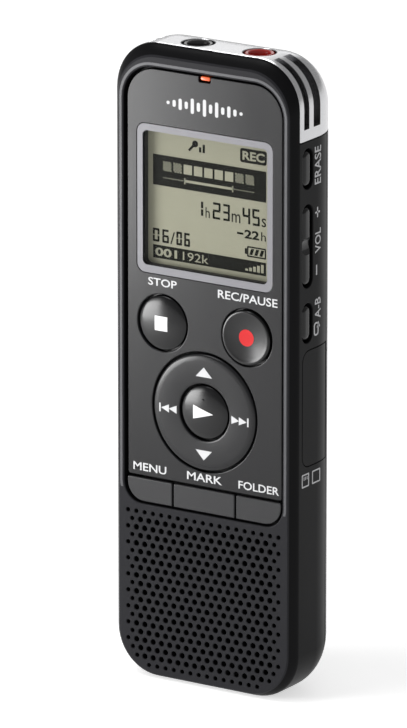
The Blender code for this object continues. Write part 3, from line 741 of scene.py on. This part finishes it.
def rearShell():
    start, doorTop = case["seam"] + case["gap"], doorEdge["top"] + doorEdge["gap"]
    shell = draft(bodyForm(start, depth - case["skin"], softStart=case["seamEdge"]))
    carve(
        shell,
        bodyForm(start - 1, depth - 1.3, 1.3),
        block(grown(width, 1), (0, depth + 1), (-1, doorTop)),
        asForm(bandRoom()),
    )
    bulkhead = draft(bodyForm(start, depth - 1.0, 1.0))
    keep(bulkhead, block(width, (0, depth), (doorTop, doorEdge["bulkhead"])))
    fuse(shell, asForm(bulkhead), block(tray["xs"], tray["ys"], tray["zs"]))
    pilot, room = screwHole["pilot"], screwHole["room"]
    for side in (-1, 1):
        low, high = (side * lowScrew[0], 0, lowScrew[1]), (side * highScrew[0], 0, highScrew[1])
        ear = onSide(side, (lowScrew[0] - 2.5, lowScrew[0] + 1.8))
        outside = onSide(side, (screwHole["roomInside"], half))
        fuse(
            shell,
            block(ear, (6.7, 7.9), about(lowScrew[1], 2.2)),
            block(onSide(side, (12.3, 14.6)), (11.7, 13.9), (9.0, 11.0)),
            rod(1.95, high, "y", 7.0, 13.0),
        )
        carve(
            shell,
            rod(pilot, low, "y", 6, 9),
            rod(wire["radius"] + 0.3, (side * wire["leg"], wire["y"], 0), "z", 8, 12),
            rod(pilot, high, "y", 6, 11),
            rod(screwHole["head"], high, "y", 10.0, depth),
            block(outside, (6, case["seam"]), about(highScrew[1], room)),
        )
    carve(shell, block(bay["xs"], bay["ys"], bay["zs"]), strapTunnel())
    return finished(shell, "rearShell", caseBlack, "casing", ("rear_shell",))


def batteryDoor():
    start = case["seam"] + case["gap"]
    door = draft(bodyForm(start, depth - case["skin"], softStart=case["seamEdge"]))
    carve(
        door,
        bodyForm(start - 1, depth - doorEdge["wall"], doorEdge["wall"]),
        block(grown(width, 1), (0, depth + 1), (doorEdge["top"], height + 1)),
        block(doorRelief["xs"], (start - 1, doorRelief["back"]), (-1, doorRelief["top"])),
    )
    for side in (-1, 1):
        lug = draft(block(onSide(side, (5.0, 8.0)), (11.95, 14.2), (0.5, 3.3)))
        fuse(door, asForm(keep(lug, bodyForm(case["seam"], depth - 1, 0.3))))
        carve(door, block(onSide(side, (9.2, 13.6)), (11, 13.9), (-1, 5.0)))
    carve(door, rod(wire["radius"] + 0.3, (0, wire["y"], wire["z"]), "x", -10, 10))
    grip = {"count": 7, "pitch": 1.5, "top": 55.0, "half": 6.0, "radius": 0.42, "sink": 0.3}
    wide, narrow = grip["radius"], grip["radius"] * 0.7
    for line in range(grip["count"]):  # a worn-in field of finger grooves
        z = grip["top"] - line * grip["pitch"]
        reach = grip["half"] * math.cos(0.32 * (line - (grip["count"] - 1) / 2))
        profile = [(0, -reach), (narrow, -reach + 0.25), (wide, -reach + 0.8)]
        profile += [(wide, reach - 0.8), (narrow, reach - 0.25), (0, reach)]
        carve(door, turned(profile, (0, depth - case["skin"] + wide - grip["sink"], z), "x", 16))
    arrow = slab([(-1.6, 42.6), (0, 40.6), (1.6, 42.6)], depth - 0.25, 1)
    carve(door, arrow)
    return finished(door, "batteryDoor", caseBlack, "door", ("battery_door",))


def topBand():
    soft = band["edge"]
    edge = draft(bodyForm(band["ys"][0], band["ys"][1], softStart=soft, softEnd=soft))
    keep(edge, block(grown(width, 1), (0, depth), (band["bottom"], height + 1)))
    carve(edge, bodyForm(band["ys"][0] - 1, band["ys"][1] + 1, case["wall"]))
    for side in (-1, 1):
        for ys in band["slots"]:
            slot = plate(onSide(side, (band["slotInside"], half + 1)), (band["slotBottom"], height + 1), ys)
            carve(edge, moved(slot, upwards))
    hole, lip = band["hole"], height - case["skin"]
    mouth = hole + band["holeEdge"]
    for x in (band["headphoneX"], band["microphoneX"]):
        profile = [(0, height - 3), (hole, height - 3), (hole, lip - band["holeEdge"]), (mouth, lip)]
        profile += [(mouth, height + 1), (0, height + 1)]
        carve(edge, turned(profile, (x, band["jackY"], 0), "z", 64))
    return finished(edge, "topBand", bandSilver, "casing", ("top_band",))


frontShell()
print("front shell carved")
rearShell()
batteryDoor()
topBand()
print("rear shell, battery door and top band carved")

# Panel and display.

panel = {
    "xs": (-15.85, 15.85), "ys": (0.6, 1.6), "zs": (36.45, 109.65), "top": 5.7, "bottom": 0.5, "rim": 0.16,
    "lampXs": (-1.22, 1.22), "lampBottom": 108.55,
}
keys = {"x": 8.65, "z": 64.6, "radius": 4.85, "gap": 0.3}
ring = {"z": 49.85, "outer": 10.45, "inner": 5.15, "play": 4.8, "gap": 0.35}
window = {"half": 13.85, "zs": (73.25, 99.75), "ys": (0.72, 1.35), "printYs": (0.65, 0.71), "radius": 1.6}
view = {"xs": (-12.75, 12.75), "zs": (74.6, 98.55), "radius": 0.9}
bead = {"reach": (0.77, 0.31), "ys": (0.004, 0.2), "bottom": 34.0}


def facePanel():
    radii = (panel["top"], panel["top"], panel["bottom"], panel["bottom"])
    sheet = draft(plate(panel["xs"], panel["ys"], panel["zs"], radii, panel["rim"], segments=16))
    front, back = panel["ys"][0], panel["ys"][1] + 1
    lampZs = (panel["lampBottom"], panel["zs"][1] + 1)
    windowXs = (-window["half"] - 0.1, window["half"] + 0.1)
    carve(
        sheet,
        opening(windowXs, (front, back), grown(window["zs"], 0.1), window["radius"] + 0.1, 0.08, segments=12),
        opening(panel["lampXs"], (front, back), lampZs, (0, 0, 0.3, 0.3), 0.1),
    )
    for x in (-keys["x"], keys["x"]):
        carve(sheet, well(keys["radius"] + keys["gap"], (x, 0, keys["z"]), (front, back), 0.22))
    carve(sheet, well(ring["outer"] + ring["gap"], (0, 0, ring["z"]), (front, back), 0.2, 96))
    return finished(sheet, "facePanel", panelGloss, "casing", ("face_panel",))


def paintedHighlightBead():  # the raised line that runs round the sides and the top of the recess, coloured light grey as a painted highlight of the recess rim's rounded edge
    line = draft(frameOf(recessOutline(bead["reach"][0]), recessOutline(bead["reach"][1]), bead["ys"], 12))
    keep(line, block(width, (-1, 1), (bead["bottom"], height)))
    finished(line, "paintedHighlightBead", rimSatin, "casing")


def displayPieces():
    windowXs = (-window["half"], window["half"])
    clear = plate(windowXs, window["ys"], window["zs"], window["radius"], segments=12)
    piece(clear, "displayWindow", windowClear, "casing", ("display_window",))
    outer = (windowXs, window["zs"], window["radius"])
    inner = (view["xs"], view["zs"], view["radius"])
    border = frameOf(outer, inner, window["printYs"], 12)
    piece(border, "windowFrame", framePrint, "casing")
    outer = (grown(view["xs"], 0.4), grown(view["zs"], 0.4), view["radius"] + 0.4)
    gasket = frameOf(outer, inner, (1.37, 2.36), 12)
    piece(gasket, "displayGasket", shroudBlack, "casing")
    glassXs, _, glassZs = span("display_glass")
    glass = plate(glassXs, (2.42, 4.1), glassZs, 0.3, 0.05)
    piece(glass, "displayGlass", displayPaper, "casing", ("display_glass",))


# a digit's lit bars: top, upper right, lower right, bottom, lower left, upper left, middle
digitBars = {"0": "1111110", "2": "1101101", "3": "1111001", "4": "0110011", "5": "1011011", "6": "1011111"}
ink = {"y": 2.39, "thick": 0.035, "weight": 0.39, "smallWeight": 0.38}


def digit(sign, xs, zs, weight):
    x0, x1, z0, z1 = *xs, *zs
    middle, gap = (z0 + z1) / 2, weight * 0.22
    across, upper, lower = (x0 + gap, x1 - gap), (middle + gap, z1 - gap), (z0 + gap, middle - gap)
    places = [
        (across, (z1 - weight, z1)), ((x1 - weight, x1), upper), ((x1 - weight, x1), lower),
        (across, (z0, z0 + weight)), ((x0, x0 + weight), lower), ((x0, x0 + weight), upper),
        (across, (middle - weight / 2, middle + weight / 2)),
    ]
    lit = [place for place, on in zip(places, digitBars[sign]) if on == "1"]
    return [bar(*place, ink["y"], ink["thick"]) for place in lit]


def inked(text, across, up, bold=0.0, lift=0.0):
    return textOn(text, across, up, ink["y"] + 0.01 - lift, bold)


def displayImage():
    level, thick = ink["y"], ink["thick"]
    raised = level - 0.02
    dark, light = [], []
    dark += [
        slab([(-4.55, 95.75), (-4.2, 95.5), (-3.15, 96.6), (-3.5, 96.9)], level, thick),
        turned([(0, 0), (0.6, 0), (0.6, thick), (0, thick)], (-3.1, level, 96.95), steps=20),
        bar((-2.3, -1.85), (95.6, 96.5), level), bar((-1.55, -1.1), (95.6, 97.05), level),
        plate((6.1, 11.5), (level, level + thick), (95.1, 97.6), 0.45),
        bar((-11.75, 11.4), (88.6, 94.05), level), bar((-11.75, 11.4), (75.55, 77.9), level),
    ]
    light.append(inked("REC", (6.6, 11.1), (95.55, 97.15), 0.03, 0.02))
    for index in range(9):
        middle = -8.8 + 2.11 * index
        left, low = middle - 0.85, 91.3
        if 2 <= index <= 6:
            light.append(bar((left, left + 1.7), (low, low + 1.7), raised))
            continue
        for row in range(6):  # a dithered block
            for column in range(6):
                if (row + column) % 2:
                    x, z = left + column * 0.283, low + row * 0.283
                    light.append(bar((x, x + 0.283), (z, z + 0.283), raised))
    light.append(bar((-5.3, 4.7), (89.85, 90.3), raised))
    light += [bar(about(x, 0.12), (89.5, 90.6), raised) for x in (-5.2, 4.6)]
    for start in (-9.6, 4.9):
        for step in range(14):
            x = start + 0.3 * step
            light.append(bar((x, x + 0.16), (90.0, 90.14), raised))
    dark += [bar((-1.88, -1.44), zs, level) for zs in ((84.4, 85.55), (85.75, 86.9))]
    for sign, xs in (("2", (0.5, 2.1)), ("3", (2.6, 4.0)), ("4", (6.6, 8.15)), ("5", (8.6, 10.1))):
        dark += digit(sign, xs, (84.2, 87.15), ink["weight"])
    dark += [
        inked("h", (-0.95, -0.1), (84.2, 86.05)), inked("m", (4.4, 6.15), (84.2, 85.75)),
        inked("s", (10.5, 11.4), (84.2, 85.75)), bar((5.5, 6.75), (82.25, 82.6), level),
        inked("22", (7.0, 10.0), (81.7, 83.25), 0.03), inked("h", (10.4, 11.35), (81.7, 83.25)),
    ]
    places = (("0", (-11.8, -10.45)), ("6", (-9.85, -8.5)), ("0", (-6.95, -5.8)), ("6", (-5.35, -4.15)))
    for sign, xs in places:
        dark += digit(sign, xs, (78.45, 80.85), ink["smallWeight"])
    dark.append(slab([(-8.2, 78.45), (-7.95, 78.45), (-7.25, 80.6), (-7.5, 80.6)], level, thick))
    dark += [
        outlined((7.55, 11.4), (78.5, 80.4), 0.2, 0.1, 0.25, (level, level + thick)),
        bar((7.1, 7.5), (78.95, 79.95), level),
    ]
    for step in range(3):
        x = 8.0 + step * 1.02
        dark.append(slab([(x, 78.9), (x + 0.6, 78.9), (x + 0.98, 80.0), (x + 0.38, 80.0)], level, thick))
    light += [
        inked("192k", (-5.6, -0.35), (75.95, 77.45), 0.0, 0.02),
        inked("001", (-11.3, -6.8), (75.95, 77.45), 0.03, 0.02),
    ]
    for step in range(5):
        light.append(bar((7.2 + 0.8 * step, 7.75 + 0.8 * step), (76.0, 76.35 + 0.28 * step), raised))
    piece(joined(*dark), "displayInk", displayInk, "casing")
    piece(joined(*light), "displayLight", displayPaper, "casing")


def indicator():
    xs, _, zs = span("indicator_lens")
    lens = plate(xs, (0.82, 3.55), zs, 0.25, 0.18, 6)
    piece(lens, "indicatorLens", lampOrange, "casing", ("indicator_lens",))


facePanel()
paintedHighlightBead()
displayPieces()
displayImage()
indicator()
print("panel and display made")

# Front keys.


def arc(radius, crown, base, steps=12):  # a dome's profile from its crown to its edge
    turns = [math.pi / 2 * step / steps for step in range(steps + 1)]
    return [(radius * math.sin(turn), base - (base - crown) * math.cos(turn)) for turn in turns]


def keyProfile(radius, crown, base, back, flange=None):
    profile = arc(radius, crown, base)
    if flange:
        return profile + [(radius, 1.95), (flange, 1.95), (flange, back), (0, back)]
    return profile + [(radius, back), (0, back)]


def dishProfile(radius, rim, centre, back, flange):  # a shallow dish inside a soft rim
    dish = [(radius * 0.86 * step / 8, centre - (centre - rim - 0.05) * (step / 8) ** 2) for step in range(9)]
    rimArc = [(radius * 0.9, rim + 0.01), (radius * 0.94, rim)]
    rimArc += [(radius * 0.975, rim + 0.06), (radius, rim + 0.22)]
    return dish + rimArc + [(radius, 1.95), (flange, 1.95), (flange, back), (0, back)]


def inlay(profile, centre, form, steps=64, closed=False):  # a mark that follows a turned key's surface
    cap = draft(shifted(turned(profile, centre, steps=steps, closed=closed), y=-proud))
    keep(cap, form)
    return asForm(cap)


def triangle(x0, x1, z, tall, y=-1.0, deep=2.4):  # points from x0 to x1
    return slab([(x0, z - tall / 2), (x1, z), (x0, z + tall / 2)], y, deep)


def frontKeys():
    left, right, middle = (-keys["x"], 0, keys["z"]), (keys["x"], 0, keys["z"]), (0, 0, ring["z"])
    stop = keyProfile(keys["radius"], 0.08, 0.85, 2.45, 5.9)
    piece(turned(stop, left), "stopKey", keyBlack, "stop_key", ("stop_button",))
    square = bar(about(left[0], 1.3), about(left[2], 1.3), -1, 2.2)
    piece(inlay(stop, left, square), "stopMark", markWhite, "stop_key")
    record = dishProfile(keys["radius"], 0.2, 0.52, 2.45, 5.9)
    piece(turned(record, right), "recordKey", keyBlack, "record_key", ("record_button",))
    dot = rod(1.5, right, "y", -1, 1.2)
    piece(inlay(record, right, dot), "recordMark", markRed, "record_key")
    play = keyProfile(ring["play"], 0.04, 0.85, 2.45)
    piece(turned(play, middle), "playKey", keyBlack, "play_key", ("play_button",))
    mark = inlay(play, middle, triangle(-2.05, 2.12, ring["z"], 2.5))
    piece(mark, "playMark", markWhite, "play_key")
    dot = turned([(0, 0), (0.16, 0.02), (0.26, 0.1), (0.3, 0.25), (0, 0.25)], (0, 0.03, 52.15), steps=16)
    piece(dot, "playDot", keyBlack, "play_key")
    inside, outside = ring["inner"], ring["outer"]
    profile = [
        (inside, 1.45), (inside, 0.62), (inside + 0.08, 0.5), (5.5, 0.44), (7.5, 0.37), (9.2, 0.38),
        (9.9, 0.42), (10.2, 0.5), (10.36, 0.62), (outside, 0.82), (outside, 1.45),
    ]
    form = turned(profile, middle, steps=128, closed=True)
    piece(form, "controlRing", ringGloss, "ring", ("control_ring",))
    marks = [
        slab([(-1.67, 56.25), (1.67, 56.25), (0, 58.0)], -1, 2.2),
        slab([(-1.67, 43.05), (0, 41.3), (1.67, 43.05)], -1, 2.2),
    ]
    for side in (-1, 1):
        for start in (5.65, 7.2):
            marks.append(triangle(side * start, side * (start + 1.6), 49.5, 1.45))
        marks.append(bar(onSide(side, (8.9, 9.2)), about(49.5, 0.78), -1, 2.2))
    inlaid = [inlay(profile, middle, mark, 128, True) for mark in marks]
    piece(joined(*inlaid), "ringMarks", printWhite, "ring")


row = {
    "xs": (-15.85, 15.85), "ys": (0.35, 1.35), "zs": (31.8, 36.05),
    "split": 6.45, "gap": 0.16, "radius": 3.4, "edge": 0.12, "rim": 0.22,
}


def rowKeys():
    start, end = row["split"] - row["gap"], row["split"] + row["gap"]
    spans = {"menu": (row["xs"][0], -end), "mark": (-start, start), "folder": (end, row["xs"][1])}
    for name, xs in spans.items():
        low = [row["edge"], row["edge"]]
        if name == "menu":
            low[0] = row["radius"]
        if name == "folder":
            low[1] = row["radius"]
        key = draft(plate(xs, row["ys"], row["zs"], (0.3, 0.3, *low), row["rim"], 10))
        middle = max(-10.6, min(10.6, sum(xs) / 2))
        fuse(key, block(about(middle, 2.2), (1.0, 2.5), (33.4, 35.4)))
        finished(key, name + "Key", rowGloss, name + "_key", (name + "_button",))


def labels():
    level = panel["ys"][0] + 0.004
    rowUp = (37.3, 38.75)
    words = {
        "STOP": ((-11.6, -5.7), (71.1, 72.5)), "REC/PAUSE": ((2.75, 14.9), (70.85, 72.35)),
        "MENU": ((-14.75, -7.9), rowUp), "MARK": ((-3.6, 3.6), rowUp), "FOLDER": ((7.0, 15.3), rowUp),
    }
    forms = [textOn(word, *box, level, 0.012) for word, box in words.items()]
    piece(joined(*forms), "panelLabels", printWhite, "casing")
    waves = []
    heights = (0.5, 1.1, 1.9, 1.2, 2.6, 1.5, 2.9, 1.5, 2.6, 1.2, 1.9, 1.1, 0.5)
    for index, tall in enumerate(heights):  # a plain sound wave
        x = (index - (len(heights) - 1) / 2) * 1.24
        xs, zs = about(x, 0.33), about(104.1, tall / 2 + 0.05)
        waves.append(plate(xs, (level - 0.02, level + 0.02), zs, 0.3, segments=4))
    piece(joined(*waves), "panelWave", printWhite, "casing")


frontKeys()
rowKeys()
labels()
print("front keys and labels made")

# Sides.


def sideKeys():
    for node, body in rightKeys.items():
        xs, ys, zs = span(node)
        piece(capsule(ys, zs, xs, rim=1.0), body.replace("_k", "K"), keyBlack, body, (node,))
    xs, ys, zs = span("volume_rocker")
    rocker = draft(capsule(ys, zs, xs, rim=1.0))
    middle = sum(zs) / 2
    saddle = turned([(0, -4), (2.6, -4), (2.6, 4), (0, 4)], (xs[1] + 2.1, sum(ys) / 2, middle), "y", 48)
    carve(rocker, saddle)
    finished(rocker, "volumeRocker", keyBlack, "volume_key", ("volume_rocker",))
    for node, (body, travel) in switches.items():
        xs, ys, zs = span(node)
        knob = draft(mirrored(capsule(ys, zs, (-xs[1], -xs[0]), rim=0.3)))
        count = 4 if node == "power_switch" else 2
        for index in range(count):
            z = sum(zs) / 2 + (index - (count - 1) / 2) * 0.9
            carve(knob, rod(0.2, (xs[0], 0, z), "y", 4, 9, 12))
        finished(knob, body.replace("_s", "S"), keyBlack, body, (node,))


def cardCover():
    ys, zs = span("card_cover")[1:]
    cover = draft(bodyForm(ys[0] - 0.5, ys[1] + 0.5))
    radius = card["radius"] - card["coverInset"]
    profile = stacked([(x, ys, zs, (0, radius, radius, 0)) for x in (card["cover"], half + 1)], 10)
    keep(cover, moved(profile, sideways))
    return finished(cover, "cardCover", caseBlack, "card_lid", ("card_cover",))


def sideLabels():
    level = half - case["skin"] + 0.006
    words = {
        "ERASE": ((6.5, 8.5), (91.9, 98.6)), "VOL": ((6.7, 8.5), (79.7, 84.0)),
        "A-B": ((6.7, 8.5), (68.0, 71.7)),
    }
    forms = [textOn(word, *box, level, 0.01, "right") for word, box in words.items()]
    deep = (level - 0.01, level + 0.01)
    strips = [
        ((6.7, 8.2), about(86.9, 0.16)), (about(7.45, 0.16), (86.0, 87.8)), (about(7.2, 0.16), (75.8, 77.6)),
    ]
    strips += [((3.3 + 0.5 * step, 3.5 + 0.5 * step), (39.9, 40.5)) for step in range(3)]
    marks = [bar(ys, zs, deep[0], 0.02) for ys, zs in strips]  # plus, minus and a card's contacts
    marks.append(outlined((6.4, 7.9), (65.0, 67.4), 0.6, 0.35, 0.3, deep, 4))  # a loop with an arrow
    marks.append(slab([(7.3, 66.4), (8.4, 66.4), (7.8, 67.5)], deep[0], 0.02))
    marks += [outlined(ys, (38.6, 41.0), 0.15, 0.1, 0.25, deep) for ys in ((2.7, 5.0), (6.0, 8.6))]  # cards
    forms += [moved(mark, sideways) for mark in marks]
    piece(joined(*forms), "sideLabels", sidePrint, "casing")


def jacks():
    top, inside = height - 0.12, 1.85
    for name, finish in (("headphone", jackBlack), ("microphone", jackRed)):
        profile = [(inside, 112.0), (2.64, 112.0), (2.64, top - 0.35)]
        profile += [(2.55, top - 0.12), (2.42, top), (2.2, top), (2.0, top - 0.1), (inside, top - 0.4)]
        collar = turned(profile, (band[name + "X"], band["jackY"], 0), "z", 64, True)
        piece(collar, name + "Collar", finish, "casing", (name + "_collar",))


sideKeys()
cardCover()
sideLabels()
jacks()
print("side keys, card cover and jacks made")

# Inside.


def cells():
    for name in ("battery_cell_left", "battery_cell_right"):
        xs, ys, zs = span(name)
        radius, length, turn = (xs[1] - xs[0]) / 2, zs[1] - zs[0], name.endswith("left")
        profile = [
            (0, 0.12), (3.2, 0.12), (3.4, 0.02), (radius - 0.45, 0.02), (radius - 0.12, 0.15), (radius, 0.5),
            (radius, length - 1.7), (radius - 0.15, length - 1.25), (radius - 0.6, length - 1.05),
            (2.3, length - 1.05), (1.95, length - 0.95), (1.85, length - 0.2), (1.6, length - 0.05),
            (0, length - 0.02),
        ]
        places = [(r, zs[0] + h if turn else zs[1] - h) for r, h in profile]
        form = turned(places, (sum(xs) / 2, sum(ys) / 2, 0), "z", 48)
        piece(form, "cellLeft" if turn else "cellRight", cellWrap, "casing", (name,))


def hingeWire():
    leg = [(wire["leg"], 16.0), (wire["leg"], 5.6), (12.8, 4.2), (12.0, 3.3), (10.8, 2.6), (9.4, wire["z"])]
    route = [(-x, z) for x, z in leg] + [(x, z) for x, z in reversed(leg)]
    curve = bpy.data.curves.new("hingeWire", "CURVE")
    curve.dimensions, curve.use_fill_caps = "3D", True
    curve.bevel_depth, curve.bevel_resolution = wire["radius"] - 0.01, 4
    spline = curve.splines.new("POLY")
    spline.points.add(len(route) - 1)
    for point, (x, z) in zip(spline.points, route):
        point.co = (x, wire["y"], z, 1)
    holder = bpy.data.objects.new("hingeWire", curve)
    bpy.context.scene.collection.objects.link(holder)
    graph = bpy.context.evaluated_depsgraph_get()
    mesh = bpy.data.meshes.new_from_object(holder.evaluated_get(graph))
    bpy.data.objects.remove(holder)
    made = bpy.data.objects.new("hingeWire", mesh)
    bpy.context.scene.collection.objects.link(made)
    form = mended(asForm(made))
    piece(form, "hingeWire", steelBright, "door_wire", ("hinge_wire",), 50)


def screws():
    for node in ("screw_high_left", "screw_high_right", "screw_low_left", "screw_low_right"):
        xs, ys, zs = span(node)
        x, z, head = sum(xs) / 2, sum(zs) / 2, ys[1] - 1.0
        profile = [(0, ys[0]), (0.4, ys[0] + 0.1), (0.8, ys[0] + 0.8)]
        turn = ys[0] + 1.0
        while turn < head - 0.5:  # a coarse thread
            profile += [(0.8, turn), (0.62, turn + 0.22)]
            turn += 0.45
        profile += [(0.75, head - 0.1), (0.8, head), (1.3, head), (1.34, head + 0.2), (1.3, head + 0.6)]
        profile += [(0.95, ys[1] - 0.03), (0, ys[1])]
        screw = draft(turned(profile, (x, 0, z), steps=24))
        for wide, tall in ((0.9, 0.17), (0.17, 0.9)):
            carve(screw, block(about(x, wide), (ys[1] - 0.55, ys[1] + 1), about(z, tall)))
        name = "".join(word.title() for word in node.split("_"))
        finished(screw, name[0].lower() + name[1:], steelBright, "casing", (node,))


cells()
hingeWire()
screws()

carried = {
    "main_board": boardGreen, "keypad": rubberGrey, "ring_seat": rubberGrey, "speaker": speakerCloth,
    "card_socket": steelBright, "usb_socket": steelBright,
    "headphone_jack": jackBlack, "microphone_jack": jackBlack,
    "microphone_mesh_left": meshCloth, "microphone_mesh_right": meshCloth,
    "microphone_capsule_left": steelBright, "microphone_capsule_right": steelBright,
    "display_holder": whitePlastic,
    "contact_bridge": goldContact, "contact_plus": goldContact, "contact_minus": goldContact,
}
for name, finish in carried.items():
    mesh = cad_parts[name].data
    mesh.materials.clear()
    mesh.materials.append(finish.material)
print("inner parts finished")

# Floor, light and camera.

floor = {"size": 6.0, "colour": (0.9, 0.9, 0.9), "glow": 0.6}


def setStage():
    form = bmesh.new()
    bmesh.ops.create_grid(form, x_segments=1, y_segments=1, size=floor["size"])
    mesh = bpy.data.meshes.new("floor")
    form.to_mesh(mesh)
    form.free()
    ground = bpy.data.objects.new("floor", mesh)
    bpy.context.scene.collection.objects.link(ground)
    paint = moulded(
        "floorPaint", floor["colour"], 0.6, grain=2.0, relief=0.0, spread=0.01,
        Emission_Color=(1, 1, 1, 1), Emission_Strength=floor["glow"], shine=0.1,
    )
    mesh.materials.append(paint.material)
    world = bpy.data.worlds.new("studio")
    world.use_nodes = True
    world.node_tree.nodes["Background"].inputs["Color"].default_value = (1, 1, 1, 1)
    world.node_tree.nodes["Background"].inputs["Strength"].default_value = 0.38
    bpy.context.scene.world = world
    bpy.context.scene.view_settings.view_transform = "Standard"


def softBox(name, place, target, size, power):
    light = bpy.data.lights.new(name, "AREA")
    light.shape, light.size, light.size_y, light.energy = "RECTANGLE", size[0], size[1], power
    box = bpy.data.objects.new(name, light)
    bpy.context.scene.collection.objects.link(box)
    box.location = place
    box.rotation_euler = (Vector(target) - Vector(place)).to_track_quat("-Z", "Y").to_euler()


middleHeight = (cadBox[0].z + cadBox[1].z) / 2
lens = {"azimuth": 33.0, "elevation": 15.94, "away": 1.5, "side": 0.0051, "up": 0.00061, "focal": 427.7}


def setCamera():
    turn, tilt = math.radians(lens["azimuth"]), math.radians(lens["elevation"])
    ahead = Vector((-math.sin(turn) * math.cos(tilt), math.cos(turn) * math.cos(tilt), -math.sin(tilt)))
    right = Vector((math.cos(turn), math.sin(turn), 0))
    above = right.cross(ahead)
    data = bpy.data.cameras.new("camera")
    data.sensor_fit, data.sensor_height, data.lens = "VERTICAL", 36.0, lens["focal"]
    data.clip_start, data.clip_end = 0.05, 20
    obj = bpy.data.objects.new("camera", data)
    bpy.context.scene.collection.objects.link(obj)
    aim = Vector((0, 0, middleHeight)) - right * lens["side"] - above * lens["up"]
    obj.location = aim - ahead * lens["away"]
    obj.rotation_euler = Matrix((right, above, -ahead)).transposed().to_euler()
    bpy.context.scene.camera = obj


setStage()
softBox("keyLight", (-0.40, -0.36, 0.12), (0, 0, 0.08), (0.26, 0.22), 0.5)
softBox("nearLight", (-0.187, -0.174, 0.05), (0, 0, 0.08), (0.12, 0.09), 0.45)
softBox("topLight", (-0.25, -0.25, 0.75), (0, 0, 0.1), (0.35, 0.25), 1.6)
softBox("backLight", (-0.42, 0.62, 0.36), (0, 0, 0.1), (0.45, 0.25), 0.4)
setCamera()
print("stage, light and camera set")
